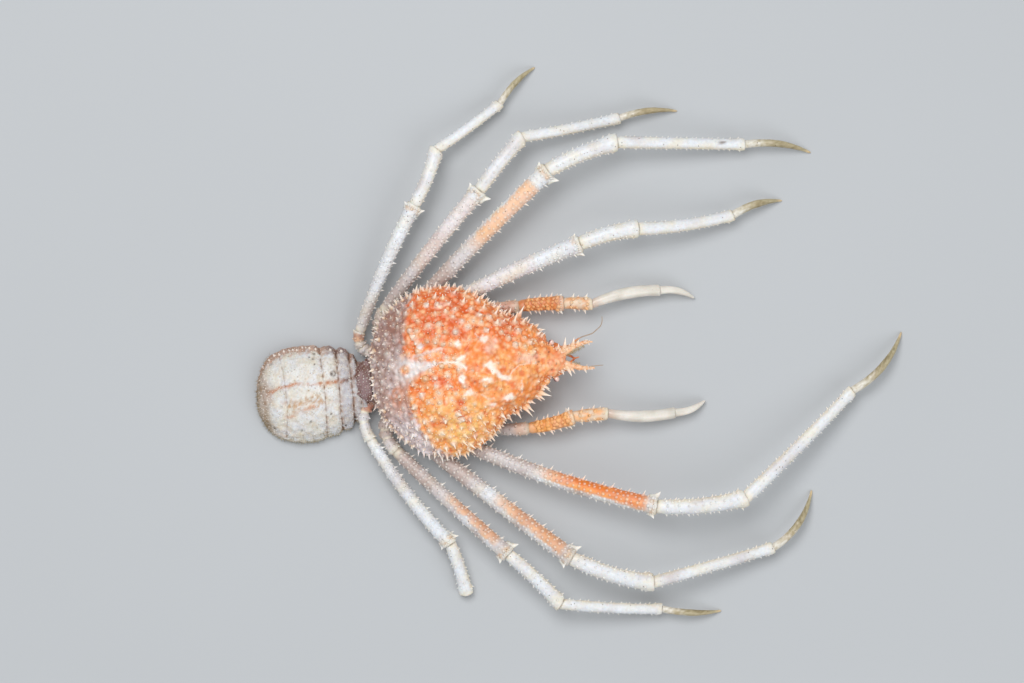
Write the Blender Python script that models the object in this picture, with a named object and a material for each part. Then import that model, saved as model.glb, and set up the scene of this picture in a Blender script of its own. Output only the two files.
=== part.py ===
# Spiny spider crab at life size: it lies on its belly with its legs spread and its tail plate folded out.
# Every length is in millimetres until finish() turns it to metres. +X points along the rostrum,
# +Y to the animal's left and +Z up, and the floor is at z = 0.
import math
import random

import bmesh
import bpy
from mathutils import Matrix, Vector

MM = 0.001
GAP = 0.3  # clearance where two pieces meet face to face
UP = Vector((0, 0, 1))

# Shell, seen from above as two blended ellipses: the wide gill chambers and the narrow front
GILL_X = -4.0
GILL_RADII = (26.0, 29.6)
FRONT_X = 15.0
FRONT_RADII = (18.5, 17.2)
ELLIPSE_BLEND = 10  # how sharply the one ellipse takes over from the other
REAR_FACE_X = -29.0
FRONT_FACE_X = 32.0
MARGIN_Z = 15.0
UNDERSIDE_Z = 11.5
DOME_X = 2.0
DOME_RADII = (31.6, 36.0)  # behind and ahead of the highest point
DOME_HEIGHT = 13.6
DOME_CURVE = (2.4, 0.75)  # powers of the arch along the midline
RIM_CURVE = (2.3, 0.6)  # powers of the arch from margin to margin
MARGIN_SHIFT = -1.1  # the widest part lies a little to the right of the midline
MARGIN_SHIFT_REACH = 17.0
LEAN = 0.13  # the back leans this much to the left for each millimetre of height
SHELL_STEPS = 22
SHELL_SIDES = 28
STEP_EVENNESS = 0.25  # 1 spaces the rings of the shell evenly, 0 crowds them to both ends

# Swellings and grooves of the back: centre x, distance from the midline, radii, height
REGIONS = {
    "gastric": (10.0, 0.0, 8.0, 9.0, 1.3),
    "cardiac": (-13.0, 0.0, 5.0, 4.5, 1.4),
    "intestinal": (-23.0, 0.0, 3.5, 4.0, 0.6),
    "branchial": (-8.0, 15.5, 11.0, 8.5, 2.0),
    "hepatic": (20.5, 12.0, 4.5, 4.0, 1.0),
    "neck_groove": (-1.0, 6.5, 3.0, 4.5, -1.5),
    "gill_groove": (-13.0, 7.0, 7.5, 1.9, -1.3),
}

# Spines and tubercles of the back
TUBERCLE_SPACING = 3.1
TUBERCLE_LENGTH = (1.3, 2.3)  # on the top of the back, at the margin
TUBERCLE_RADIUS = 0.85
TUBERCLE_TRIES = 9000
TUBERCLE_ENDS = (1.2, 1.6)  # bare strips at the rear and the front face
TUBERCLE_SPREAD = 0.9  # part of the arch from margin to margin that carries them
SMOOTH_STRIP = (-21.0, 3.0, 1.9)  # from x, to x, half width, without tubercles
MARGIN_SPINE_SPACING = 4.4
MARGIN_SPINE = (3.1, 1.0)  # length, base radius
MARGIN_SPINE_ENDS = (3.0, 1.5)  # from the rear face, from the spine behind the eye
SPINE_CLEARANCE = 2.6  # no tubercle stands closer than this to a large spine
REAR_SPINES = 9
REAR_SPINE = (1.5, 0.6)
REAR_SPINE_LEVEL = 0.68
ORBIT_SPINE = (29.6, 4.2, 1.1)  # x, length, base radius
SINK = 0.9  # how deep a spine's root goes in
LARGE_SINK = 1.3

# Rostrum: a short plate between the eyes and two diverging horns
ROSTRUM_HALF_WIDTH = 4.5
ROSTRUM_Z = 17.4
ROSTRUM_PLATE = (4.6, 2.6)  # length, half height
NOTCH_SPINE = (4.4, 0.9)  # length and base radius of the point between the horns
HORN_ROOT = (33.6, 2.4)
HORN_TIP = (48.6, 4.9)
HORN_RISE = 1.6
HORN_RADII = (2.1, 0.3)
HORN_SPINES = ((0.06, 2.7), (0.28, 3.8), (0.5, 3.0), (0.66, 2.4), (0.84, 1.9))  # along the horn, length
HORN_SPINE_RADIUS = 0.75
HORN_CURVE = 0.8  # power of the horn's taper

EYE_AT = (34.9, 6.7, 16.9)
EYE_RADIUS = 1.4
STALK_RADIUS = 0.85
STALK_Y = 5.7
STALK_Z = 16.3

# Antennae: points that the feeler passes through
ANTENNA_ROOT = (5.4, 13.5)  # distance from the midline, height
ANTENNA_LEFT = (
    (38.0, 6.6, 13.6),
    (43.0, 6.9, 14.4),
    (48.9, 8.0, 15.6),
    (52.1, 11.1, 16.2),
    (52.6, 13.0, 16.2),
)
ANTENNA_RIGHT = (
    (38.0, -6.4, 13.6),
    (43.0, -5.6, 14.2),
    (48.0, -4.6, 15.0),
    (51.8, -3.6, 15.6),
)
ANTENNA_RADII = (0.85, 0.28)

# Underside: half outline of the breastplate from front to rear; each edge but the last carries a leg
STERNUM_HALF = ((5.0, 9.5), (-4.0, 13.5), (-12.2, 15.5), (-20.5, 15.2), (-27.0, 10.8), (-29.5, 4.6))
STERNUM_FRONT = (10.0, 5.0)
STERNUM_LEVELS = ((0.0, 0.62), (1.2, 0.84), (3.2, 0.98), (11.2, 1.0))  # height, scale
STERNUM_CENTRE_X = -10.0

MOUTH_X = (10.4, 27.0)
MOUTH_HALF_WIDTH = 7.6
MOUTH_Z = (3.6, 11.2)
MOUTH_GROOVE = (1.1, 0.12)  # depth, width as a part of the half width
MOUTH_RIM = 0.6

# Tail plate, unfolded behind the body; it lies to the right of the midline
PLEON_Y = -4.2
PLEON_X = -54.0
PLEON_RADII = (25.5, 16.6)  # ahead of and behind the widest part
PLEON_HALF_WIDTH = 17.0
PLEON_HEIGHT = 12.4
PLEON_ROOT = ((-29.8, -1.5, 6.6, 8.1, 12.6), (-32.6, -1.9, 6.9, 7.0, 12.4), (-35.0, -2.5, 8.4, 4.4, 11.6))
PLEON_BREAKS = (-35.3, -36.5, -41.0, -46.9, -60.6)
PLEON_ROUND = 2.2
PLEON_SKEW = 0.08  # how much its front end leans to the left, for each millimetre of length
PLEON_LIFT = (-40.0, 0.5)  # it rises off the floor ahead of this x, at this slope
PLEON_EDGE = 1.5
PLEON_PINCH = 0.5  # how far each ring is drawn in at its two ends
PLEON_RING = ((0.0, 1.0), (0.12, 0.2), (0.35, 0.0), (0.65, 0.0), (0.88, 0.2), (1.0, 1.0))
TELSON_STEPS = (0.08, 0.3, 0.52, 0.7, 0.84, 0.94, 0.985)

# Walking legs: widths of each piece at its start, middle and end, from the second pair to the fifth
LEG_WIDTHS = {
    2: {"base": (5.6, 5.0, 4.8), "merus": (4.9, 5.4, 5.8), "carpus": (5.1, 5.3, 5.8),
        "propodus": (4.6, 4.1, 3.8), "dactylus": (2.9, 2.6, 0.6)},
    3: {"base": (5.8, 5.2, 5.0), "merus": (5.1, 5.6, 6.0), "carpus": (5.2, 5.3, 5.9),
        "propodus": (4.3, 3.9, 3.8), "dactylus": (2.8, 2.4, 0.6)},
    4: {"base": (5.2, 4.6, 4.4), "merus": (4.4, 4.9, 5.5), "carpus": (4.5, 4.6, 5.1),
        "propodus": (3.9, 3.7, 3.6), "dactylus": (2.5, 2.2, 0.6)},
    5: {"base": (4.4, 3.9, 3.8), "merus": (3.8, 4.3, 5.0), "carpus": (4.3, 4.4, 4.7),
        "propodus": (3.6, 3.4, 3.4), "dactylus": (2.3, 2.1, 0.6)},
}
CLAW_WIDTHS = {"base": (5.0, 4.3, 4.1), "merus": (4.2, 4.6, 4.9), "carpus": (4.1, 4.5, 3.9),
               "palm": (3.3, 3.9, 3.8), "finger": (2.9, 2.4, 0.7)}
FLATNESS = 0.92  # height of a leg over its width

# Each limb: the breastplate edge it grows from, where its merus starts, then span and heading of
# each piece seen from above, the heights of its joints, and how far each piece bows outwards
LIMBS = {
    "claw_left": {
        "number": 1,
        "start": (24.7, 19.3),
        "spans": (15.4, 9.8, 24.3, 12.6),
        "headings": (-2, -7, 6, -18),
        "heights": (8.2, 9.0, 8.4, 4.6, 1.5),
        "bows": (0.3, 0.2, 1.3, 1.2),
    },
    "leg_left_2": {
        "number": 2,
        "start": (-2.5, 21.6),
        "spans": (53.2, 20.6, 34.0, 18.3),
        "headings": (19, 9, 3, 11),
        "heights": (7.8, 15.0, 13.5, 5.6, 0.25),
        "bows": (0.8, 0.8, -1.1, 1.4),
    },
    "leg_left_3": {
        "number": 3,
        "start": (-10.8, 23.5),
        "spans": (65.1, 25.7, 45.2, 23.6),
        "headings": (40, 17, -6, -12),
        "heights": (7.6, 15.0, 13.4, 5.6, 0.25),
        "bows": (0.7, 0.9, 0.0, 1.6),
    },
    "leg_left_4": {
        "number": 4,
        "start": (-22.8, 22.2),
        "spans": (53.8, 23.7, 35.0, 20.5),
        "headings": (46, 46, 6, 2),
        "heights": (7.2, 13.0, 11.2, 4.8, 0.25),
        "bows": (0.6, 0.4, -0.4, 1.2),
    },
    "leg_left_5": {
        "number": 5,
        "start": (-31.9, 16.0),
        "spans": (48.1, 20.7, 27.7, 17.8),
        "headings": (61, 63, 31, 41),
        "heights": (7.4, 10.8, 9.0, 4.4, 0.25),
        "bows": (1.0, -0.7, -0.4, 1.1),
    },
    "claw_right": {
        "number": 1,
        "start": (24.1, -23.5),
        "spans": (15.9, 11.9, 23.5, 11.6),
        "headings": (9, 0, -5, 16),
        "heights": (8.2, 9.0, 8.4, 4.6, 1.5),
        "bows": (0.5, 0.0, 1.2, 1.1),
    },
    "leg_right_2": {
        "number": 2,
        "start": (-4.7, -23.5),
        "spans": (76.9, 31.0, 53.2, 27.1),
        "headings": (-24, 0, 39, 44),
        "heights": (7.8, 16.5, 14.8, 6.2, 0.25),
        "bows": (2.3, 1.2, 0.4, 2.5),
    },
    "leg_right_3": {
        "number": 3,
        "start": (-13.4, -25.5),
        "spans": (65.3, 29.5, 44.0, 24.2),
        "headings": (-43, -22, 10, 50),
        "heights": (7.6, 15.0, 13.4, 5.6, 0.25),
        "bows": (0.3, 1.4, 0.2, 2.5),
    },
    "leg_right_4": {
        "number": 4,
        "start": (-23.0, -27.4),
        "spans": (53.0, 24.9, 35.8, 21.0),
        "headings": (-48, -49, -9, -8),
        "heights": (7.2, 13.0, 11.2, 4.8, 0.25),
        "bows": (0.3, -0.4, 0.5, 0.9),
    },
    "leg_right_5": {
        "number": 5,
        "start": (-31.7, -22.7),
        "spans": (45.6, 18.4),
        "headings": (-58, -78),
        "heights": (7.4, 7.2, 2.3),
        "bows": (1.3, -0.4),
    },
}
ROOT_HEIGHTS = {1: 6.9, 2: 6.7, 3: 6.6, 4: 6.2, 5: 5.6}
LEG_PIECES = ("merus", "carpus", "propodus", "dactylus")
CLAW_PIECES = ("merus", "carpus", "palm", "finger")
ARCH = {"merus": 0.02, "carpus": 0.04, "propodus": 0.01, "dactylus": 0.1, "palm": 0.03, "finger": 0.06}
LIMB_SIDES = 8

# Stations along each kind of piece, and how much wider than its plain taper it is there
SWELL = {
    "base": ((0.0, 1.0), (0.35, 1.0), (0.7, 0.98), (0.9, 1.06), (1.0, 0.96)),
    "merus": ((0.0, 0.86), (0.06, 0.98), (0.5, 1.0), (0.86, 0.98), (0.95, 1.12), (1.0, 0.98)),
    "carpus": ((0.0, 0.82), (0.1, 0.97), (0.5, 1.0), (0.84, 1.0), (0.94, 1.1), (1.0, 0.96)),
    "propodus": ((0.0, 0.82), (0.06, 0.98), (0.5, 1.0), (0.92, 1.0), (0.97, 1.12), (1.0, 0.94)),
    "dactylus": ((0.0, 0.86), (0.08, 1.0), (0.4, 1.0), (0.7, 1.12), (0.9, 1.1), (1.0, 0.9)),
    "palm": ((0.0, 0.84), (0.12, 0.98), (0.5, 1.0), (0.85, 1.02), (1.0, 0.94)),
    "finger": ((0.0, 0.9), (0.3, 1.0), (0.6, 1.08), (0.85, 1.1), (1.0, 0.9)),
}

# Spines on the edges of the legs: count on each edge, length on the front and rear edge, base radius
EDGE_SPINES = {
    "merus": (11, 1.9, 1.5, 0.65),
    "carpus": (5, 1.4, 1.1, 0.55),
    "propodus": (8, 1.2, 0.9, 0.45),
}
CLAW_SPINES = {"merus": (3, 2.7, 2.3, 0.85), "carpus": (2, 2.3, 1.9, 0.75)}
KNEE_SPINE = (2.4, 1.05)  # length, base radius of the pair at the end of each merus
SPINE_LIFT = 0.22
SPINE_LEAN = 0.4
SPINE_ROW = (0.13, 0.88)  # part of a piece that carries its rows
KNEE_LEAN = 0.7
KNEE_SHARE = 0.95
FINGER_RISE = (-0.78, 0.72)  # the palm's own finger and the moving one, in half widths
FINGER_FLATNESS = 0.62
FINGER_ROOT = 1.4  # how far the palm's own finger reaches back into it
SPINE_SIDES = 4

COLOURS = {
    "shell": (0.86, 0.38, 0.17),
    "rostrum": (0.85, 0.42, 0.22),
    "eye": (0.36, 0.2, 0.24),
    "antenna": (0.82, 0.66, 0.5),
    "underside": (0.82, 0.74, 0.68),
    "pleon": (0.74, 0.68, 0.6),
    "limb": (0.83, 0.74, 0.66),
    "orange_limb": (0.84, 0.45, 0.24),
    "claw": (0.88, 0.83, 0.78),
    "tip": (0.42, 0.33, 0.14),
}
ORANGE_PIECES = ("claw_left_merus", "claw_right_merus", "leg_right_2_merus", "leg_right_3_merus")


def clear_scene():
    for old in list(bpy.data.objects):
        bpy.data.objects.remove(old)


def coat(colour):
    # One Principled material for each object
    material = bpy.data.materials.new(colour)
    material.use_nodes = True
    shader = material.node_tree.nodes["Principled BSDF"]
    shader.inputs["Base Color"].default_value = (*COLOURS[colour], 1)
    shader.inputs["Roughness"].default_value = 0.3 if colour == "eye" else 0.5
    shader.inputs["Metallic"].default_value = 0.0
    return material


def finish(name, shape, colour=None):
    # Turns a closed bmesh in millimetres into an object in metres
    bmesh.ops.recalc_face_normals(shape, faces=shape.faces)
    if shape.calc_volume(signed=True) < 0:
        bmesh.ops.reverse_faces(shape, faces=shape.faces)
    bmesh.ops.scale(shape, vec=(MM, MM, MM), verts=shape.verts)
    mesh = bpy.data.meshes.new(name)
    shape.to_mesh(mesh)
    shape.free()
    piece = bpy.data.objects.new(name, mesh)
    bpy.context.scene.collection.objects.link(piece)
    if colour:
        mesh.materials.append(coat(colour))
    return piece


def sleeve(rings, sides, place):
    # A capped tube of unit rings, whose points place(ring, across, up) then sets where they belong
    shape = bmesh.new()
    bmesh.ops.create_circle(shape, cap_ends=True, segments=sides, radius=1.0)
    rim = list(shape.edges)
    for _ in range(rings - 1):
        grown = bmesh.ops.extrude_edge_only(shape, edges=rim)["geom"]
        fresh = {part for part in grown if isinstance(part, bmesh.types.BMVert)}
        bmesh.ops.translate(shape, vec=UP, verts=list(fresh))
        edges = [part for part in grown if isinstance(part, bmesh.types.BMEdge)]
        rim = [edge for edge in edges if fresh.issuperset(edge.verts)]
    bmesh.ops.edgeloop_fill(shape, edges=rim)
    for vert in shape.verts:
        vert.co = place(round(vert.co.z), vert.co.x, vert.co.y)
    return shape


def ring_at(point, along, half_wide, half_high):
    # The place of a unit ring that faces along, with its first axis level
    left = Vector((-along.y, along.x, 0)).normalized()
    up = along.cross(left).normalized()
    turn = Matrix((left * half_wide, up * half_high, along)).transposed().to_4x4()
    return Matrix.Translation(point) @ turn


def tube(frames, sides):
    def place(index, across, up):
        return frames[index] @ Vector((across, up, 0))

    return sleeve(len(frames), sides, place)


def spine(foot, towards, length, radius, sink=SINK):
    # A pointed cone whose root goes sink deep below foot
    towards = towards.normalized()
    turn = towards.to_track_quat("Z", "Y").to_matrix().to_4x4()
    middle = foot + towards * (length - sink) / 2
    shape = bmesh.new()
    bmesh.ops.create_cone(shape, cap_ends=True, segments=SPINE_SIDES, radius1=radius, radius2=0.0,
                          depth=length + sink, matrix=Matrix.Translation(middle) @ turn)
    bmesh.ops.remove_doubles(shape, verts=shape.verts, dist=0.001)
    return finish("spine", shape)


def islands(shape):
    # Groups of faces that share edges
    left = set(shape.faces)
    while left:
        group = set()
        front = [left.pop()]
        while front:
            face = front.pop()
            group.add(face)
            near = {other for edge in face.edges for other in edge.link_faces} & left
            left -= near
            front += near
        yield group


def volume_of(faces):
    return sum(face.verts[0].co.dot(face.verts[1].co.cross(face.verts[2].co)) for face in faces)


def keep_largest(mesh):
    shape = bmesh.new()
    shape.from_mesh(mesh)
    bmesh.ops.triangulate(shape, faces=shape.faces)
    groups = sorted(islands(shape), key=volume_of)
    for group in groups[:-1]:
        bmesh.ops.delete(shape, geom=list(group), context="FACES")
    shape.to_mesh(mesh)
    shape.free()


def fuse(body, pieces, solver="EXACT"):
    # Joins the pieces to the body with one union and drops what stays loose
    holder = bpy.data.collections.new(body.name + "_pieces")
    bpy.context.scene.collection.children.link(holder)
    for piece in pieces:
        bpy.context.scene.collection.objects.unlink(piece)
        holder.objects.link(piece)
    union = body.modifiers.new("Union", "BOOLEAN")
    union.operation = "UNION"
    union.operand_type = "COLLECTION"
    union.collection = holder
    union.solver = solver
    graph = bpy.context.evaluated_depsgraph_get()
    joined = bpy.data.meshes.new_from_object(body.evaluated_get(graph))
    body.modifiers.clear()
    body.data = joined
    for piece in pieces:
        bpy.data.objects.remove(piece)
    bpy.data.collections.remove(holder)
    keep_largest(body.data)
    return body


def between(low, high, share):
    return low + (high - low) * share


def shell_half_width(x):
    spread = 0.0
    for centre, radii in ((GILL_X, GILL_RADII), (FRONT_X, FRONT_RADII)):
        share = 1 - ((x - centre) / radii[0]) ** 2
        spread += (radii[1] * math.sqrt(max(share, 0.0))) ** ELLIPSE_BLEND
    return spread ** (1 / ELLIPSE_BLEND)


def dome_height(x):
    radius = DOME_RADII[0] if x < DOME_X else DOME_RADII[1]
    return DOME_HEIGHT * (1 - abs((x - DOME_X) / radius) ** DOME_CURVE[0]) ** DOME_CURVE[1]


def relief(x, y):
    total = 0.0
    for centre_x, aside, radius_x, radius_y, height in REGIONS.values():
        square = ((x - centre_x) / radius_x) ** 2 + ((abs(y) - aside) / radius_y) ** 2
        total += height * math.exp(-square)
    return total


def shell_point(x, share, upper=True):
    # A point of the shell: share runs from -1 at the right margin to 1 at the left one
    half = shell_half_width(x)
    y = half * share
    rim = max(1 - abs(share) ** RIM_CURVE[0], 0.0) ** RIM_CURVE[1]
    if upper:
        z = MARGIN_Z + (dome_height(x) + relief(x, y)) * rim
    else:
        z = MARGIN_Z - (MARGIN_Z - UNDERSIDE_Z) * math.sqrt(max(1 - share ** 6, 0.0))
    aside = MARGIN_SHIFT * math.exp(-((x - GILL_X) / MARGIN_SHIFT_REACH) ** 2) + LEAN * max(z - MARGIN_Z, 0)
    return Vector((x, y + aside, z))


def shell_normal(x, share):
    step = 0.02
    here = shell_point(x, share)
    along = shell_point(x + 0.3, share) - here
    inward = shell_point(x, share - step if share > 0 else share + step) - here
    normal = along.cross(inward)
    normal = normal if normal.z > 0 else -normal
    return normal.normalized()


def shell_stations():
    # Closer together near the two ends, where the shell turns down
    for step in range(SHELL_STEPS):
        turn = math.pi * step / (SHELL_STEPS - 1)
        share = between((1 - math.cos(turn)) / 2, step / (SHELL_STEPS - 1), STEP_EVENNESS)
        yield between(REAR_FACE_X, FRONT_FACE_X, share)


def tubercle_spots(draw):
    # Feet of the tubercles, spread over the back at an even spacing
    spots = []
    for _ in range(TUBERCLE_TRIES):
        x = draw.uniform(REAR_FACE_X + TUBERCLE_ENDS[0], FRONT_FACE_X - TUBERCLE_ENDS[1])
        share = math.sin(draw.uniform(-1, 1) * math.pi / 2 * TUBERCLE_SPREAD)
        foot = shell_point(x, share)
        strip = SMOOTH_STRIP[0] < x < SMOOTH_STRIP[1] and abs(share * shell_half_width(x)) < SMOOTH_STRIP[2]
        if strip or any((foot - other[0]).length < TUBERCLE_SPACING for other in spots):
            continue
        spots.append((foot, x, share))
    return spots


def margin_spots():
    # Feet of the large spines along both margins, from the rear corner to the eye
    spots = []
    x = REAR_FACE_X + MARGIN_SPINE_ENDS[0]
    while x < ORBIT_SPINE[0] - MARGIN_SPINE_ENDS[1]:
        step = shell_half_width(x + 0.5) - shell_half_width(x)
        spots += [(x, side) for side in (-1, 1)]
        x += MARGIN_SPINE_SPACING / math.hypot(1, 2 * step)
    return spots


def outward(x, side):
    # Level direction that leaves the margin square
    slope = (shell_half_width(x + 0.4) - shell_half_width(x - 0.4)) / 0.8
    return Vector((-slope, side, 0)).normalized()


def shell_spines():
    draw = random.Random(5)
    pieces = []
    feet = []
    for x, side in margin_spots():
        foot = shell_point(x, side * 0.995)
        feet.append(foot)
        towards = outward(x, side) + UP * draw.uniform(0.1, 0.35)
        length = MARGIN_SPINE[0] * draw.uniform(0.75, 1.1)
        pieces.append(spine(foot, towards, length, MARGIN_SPINE[1], LARGE_SINK))
    for side in (-1, 1):
        foot = shell_point(ORBIT_SPINE[0], side * 0.97)
        feet.append(foot)
        towards = Vector((0.8, side, 0.15))
        pieces.append(spine(foot, towards, ORBIT_SPINE[1], ORBIT_SPINE[2], LARGE_SINK))
    for index in range(REAR_SPINES):
        share = between(-0.88, 0.88, index / (REAR_SPINES - 1))
        foot = shell_point(REAR_FACE_X, share)
        foot.z = between(UNDERSIDE_Z, foot.z, REAR_SPINE_LEVEL)
        feet.append(foot)
        pieces.append(spine(foot, Vector((-1, 0.4 * share, 0.3)), REAR_SPINE[0], REAR_SPINE[1]))
    for foot, x, share in tubercle_spots(draw):
        if any((foot - other).length < SPINE_CLEARANCE for other in feet):
            continue
        outer = abs(share) ** 3
        towards = shell_normal(x, share) + Vector((0.15, 0.3 * share, 0))
        length = between(*TUBERCLE_LENGTH, outer) * draw.uniform(0.75, 1.2)
        pieces.append(spine(foot, towards, length, TUBERCLE_RADIUS * draw.uniform(0.85, 1.1)))
    return pieces


def make_shell():
    stations = list(shell_stations())

    def place(index, across, up):
        return shell_point(stations[index], across, up > -0.001)

    shape = sleeve(SHELL_STEPS, SHELL_SIDES, place)
    body = finish("carapace", shape, "shell")
    return fuse(body, shell_spines(), "MANIFOLD")


def make_rostrum():
    length, half_high = ROSTRUM_PLATE
    start = FRONT_FACE_X + GAP
    frames = []
    for share, wide, high in ((0.0, 1.0, 1.0), (0.5, 0.92, 0.92), (1.0, 0.6, 0.6)):
        middle = Vector((start + length * share, 0, ROSTRUM_Z))
        frames.append(ring_at(middle, Vector((1, 0, 0)), ROSTRUM_HALF_WIDTH * wide, half_high * high))
    body = finish("rostrum", tube(frames, 14), "rostrum")
    foot = Vector((start + length - 0.4, 0, ROSTRUM_Z - 0.6))
    pieces = [spine(foot, Vector((1, 0, -0.05)), *NOTCH_SPINE, LARGE_SINK)]
    for side in (-1, 1):
        pieces += horn(side)
    return fuse(body, pieces)


def horn(side):
    # One horn and the spines on its outer edge
    root = Vector((HORN_ROOT[0], side * HORN_ROOT[1], ROSTRUM_Z))
    tip = Vector((HORN_TIP[0], side * HORN_TIP[1], ROSTRUM_Z + HORN_RISE))
    along = (tip - root).normalized()
    frames = []
    for step in range(5):
        share = step / 4
        radius = between(*HORN_RADII, share ** HORN_CURVE)
        frames.append(ring_at(root.lerp(tip, share), along, radius, radius))
    shape = finish("horn", tube(frames, LIMB_SIDES))
    pieces = [shape]
    for share, length in HORN_SPINES:
        depth = 0.8 * between(*HORN_RADII, share ** HORN_CURVE)
        towards = Vector((0.55, side, 0.35)).normalized()
        foot = root.lerp(tip, share) + towards * depth
        pieces.append(spine(foot, towards, length, min(HORN_SPINE_RADIUS, depth), depth))
    return pieces


def make_eye(side):
    root = Vector((FRONT_FACE_X + GAP, side * STALK_Y, STALK_Z))
    ball = Vector((EYE_AT[0], side * EYE_AT[1], EYE_AT[2]))
    along = (ball - root).normalized()
    frames = [ring_at(root, Vector((1, 0, 0)), STALK_RADIUS, STALK_RADIUS)]
    for turn in (-50, -20, 10, 40, 65, 84):
        angle = math.radians(turn)
        middle = ball + along * EYE_RADIUS * math.sin(angle)
        radius = EYE_RADIUS * math.cos(angle)
        frames.append(ring_at(middle, along, radius, radius))
    return finish("eye_left" if side > 0 else "eye_right", tube(frames, 10), "eye")


def smooth_path(points, count):
    # Even steps along a curve through the points
    padded = [points[0] * 2 - points[1], *points, points[-1] * 2 - points[-2]]
    path = []
    for step in range(count):
        spot = step / (count - 1) * (len(points) - 1)
        index = min(int(spot), len(points) - 2)
        share = spot - index
        before, start, end, after = padded[index : index + 4]
        path.append(0.5 * (2 * start + (end - before) * share
                           + (2 * before - 5 * start + 4 * end - after) * share ** 2
                           + (3 * start - before - 3 * end + after) * share ** 3))
    return path


def make_antenna(name, side, points):
    root = Vector((FRONT_FACE_X + GAP, side * ANTENNA_ROOT[0], ANTENNA_ROOT[1]))
    path = smooth_path([root, *(Vector(point) for point in points)], 13)
    frames = []
    for index, middle in enumerate(path):
        share = index / (len(path) - 1)
        ahead = path[min(index + 1, len(path) - 1)]
        behind = path[max(index - 1, 0)]
        along = Vector((1, 0, 0)) if index == 0 else (ahead - behind).normalized()
        radius = between(*ANTENNA_RADII, share ** 0.4)
        frames.append(ring_at(middle, along, radius, radius))
    return finish(name, tube(frames, 6), "antenna")


def sternum_outline():
    half = [STERNUM_FRONT, *STERNUM_HALF]
    mirrored = [(x, -y) for x, y in reversed(half)]
    return half + mirrored


def make_sternum():
    outline = sternum_outline()

    def place(index, across, up):
        corner = outline[round(math.atan2(-across, up) / math.tau * len(outline)) % len(outline)]
        z, scale = STERNUM_LEVELS[index]
        x = between(STERNUM_CENTRE_X, corner[0], scale)
        return Vector((x, corner[1] * scale, z))

    shape = sleeve(len(STERNUM_LEVELS), len(outline), place)
    return finish("sternum", shape, "underside")


def make_mouthparts():
    # The pair of flat outer mouthparts that close the mouth from below, with a groove between them
    stations = ((0.0, 0.86, 0.7), (0.15, 1.0, 0.95), (0.6, 1.0, 1.0), (0.9, 0.8, 0.85), (1.0, 0.62, 0.6))
    low, high = MOUTH_Z

    def place(index, across, up):
        share, wide, deep = stations[index]
        x = between(*MOUTH_X, share)
        groove = MOUTH_GROOVE[0] * math.exp(-(across / MOUTH_GROOVE[1]) ** 2)
        floor = high - (high - low) * deep * math.sqrt(1 - abs(across) ** 3) + groove
        z = high if up > -0.001 else min(floor, high - MOUTH_RIM)
        return Vector((x, MOUTH_HALF_WIDTH * wide * across, z))

    return finish("mouthparts", sleeve(len(stations), 20, place), "underside")


def pleon_share(x):
    radius = PLEON_RADII[0] if x > PLEON_X else PLEON_RADII[1]
    return max(1 - abs((x - PLEON_X) / radius) ** PLEON_ROUND, 0.0) ** (1 / PLEON_ROUND)


def pleon_section(x, pinch=0.0):
    # Middle, half width, lowest and highest point of the tail plate at x
    share = pleon_share(x)
    middle = PLEON_Y + PLEON_SKEW * max(x - PLEON_X, 0.0)
    floor = max(0.0, (x - PLEON_LIFT[0]) * PLEON_LIFT[1])
    top = PLEON_HEIGHT * share ** 0.8
    return (x, middle, PLEON_HALF_WIDTH * share - pinch, floor, top - pinch)


def make_plate(name, sections):
    # A length of the tail plate: flat below, domed above
    def place(index, across, up):
        x, middle, half, floor, top = sections[index]
        edge = min(PLEON_EDGE, (top - floor) * 0.4)
        z = floor
        if up > -0.001:
            z = floor + edge + (top - floor - edge) * (1 - abs(across) ** 2.5) ** 0.7
        return Vector((x, middle + half * across, z))

    return finish(name, sleeve(len(sections), 20, place), "pleon")


def plate_sections(front, rear):
    # Each ring of the tail plate is pinched in at both ends, which draws the line between rings
    return [pleon_section(between(front, rear, share), PLEON_PINCH * pinch) for share, pinch in PLEON_RING]


def make_pleon():
    first, second, third, fourth, fifth = PLEON_BREAKS
    make_plate("pleon_root", PLEON_ROOT)
    make_plate("pleon_front", [pleon_section(first, PLEON_PINCH), *plate_sections(second, third)])
    make_plate("pleon_rear", plate_sections(third - GAP, fourth) + plate_sections(fourth, fifth)[1:])
    tail = [pleon_section(fifth - GAP, PLEON_PINCH)]
    tail += [pleon_section(between(fifth - GAP, PLEON_X - PLEON_RADII[1], share)) for share in TELSON_STEPS]
    make_plate("telson", tail)


def taper(widths, share):
    if share < 0.5:
        return between(widths[0], widths[1], share * 2)
    return between(widths[1], widths[2], share * 2 - 1)


class Piece:
    # One length of a limb: a bowed line from start to end with a plane at each end
    def __init__(self, kind, start, end, bend, widths):
        self.kind = kind
        self.start = start
        self.end = end
        self.bend = bend
        self.widths = widths
        self.planes = [self.along(0.0), self.along(1.0)]

    def middle(self, share):
        return self.start.lerp(self.end, share) + self.bend * 4 * share * (1 - share)

    def along(self, share):
        return (self.end - self.start + self.bend * 4 * (1 - 2 * share)).normalized()

    def frame(self, share, swell):
        plane = self.along(share)
        middle = self.middle(share)
        half = taper(self.widths, share) * swell / 2
        stretch = 1.0
        if share in (0.0, 1.0):
            plane = self.planes[round(share)]
            middle = middle + plane * (GAP / 2 if share == 0.0 else -GAP / 2)
            stretch = 1 / max(plane.dot(self.along(share)), 0.6)
        return ring_at(middle, plane, half * stretch, half * FLATNESS)

    def frames(self):
        return [self.frame(share, swell) for share, swell in SWELL[self.kind]]


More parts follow.
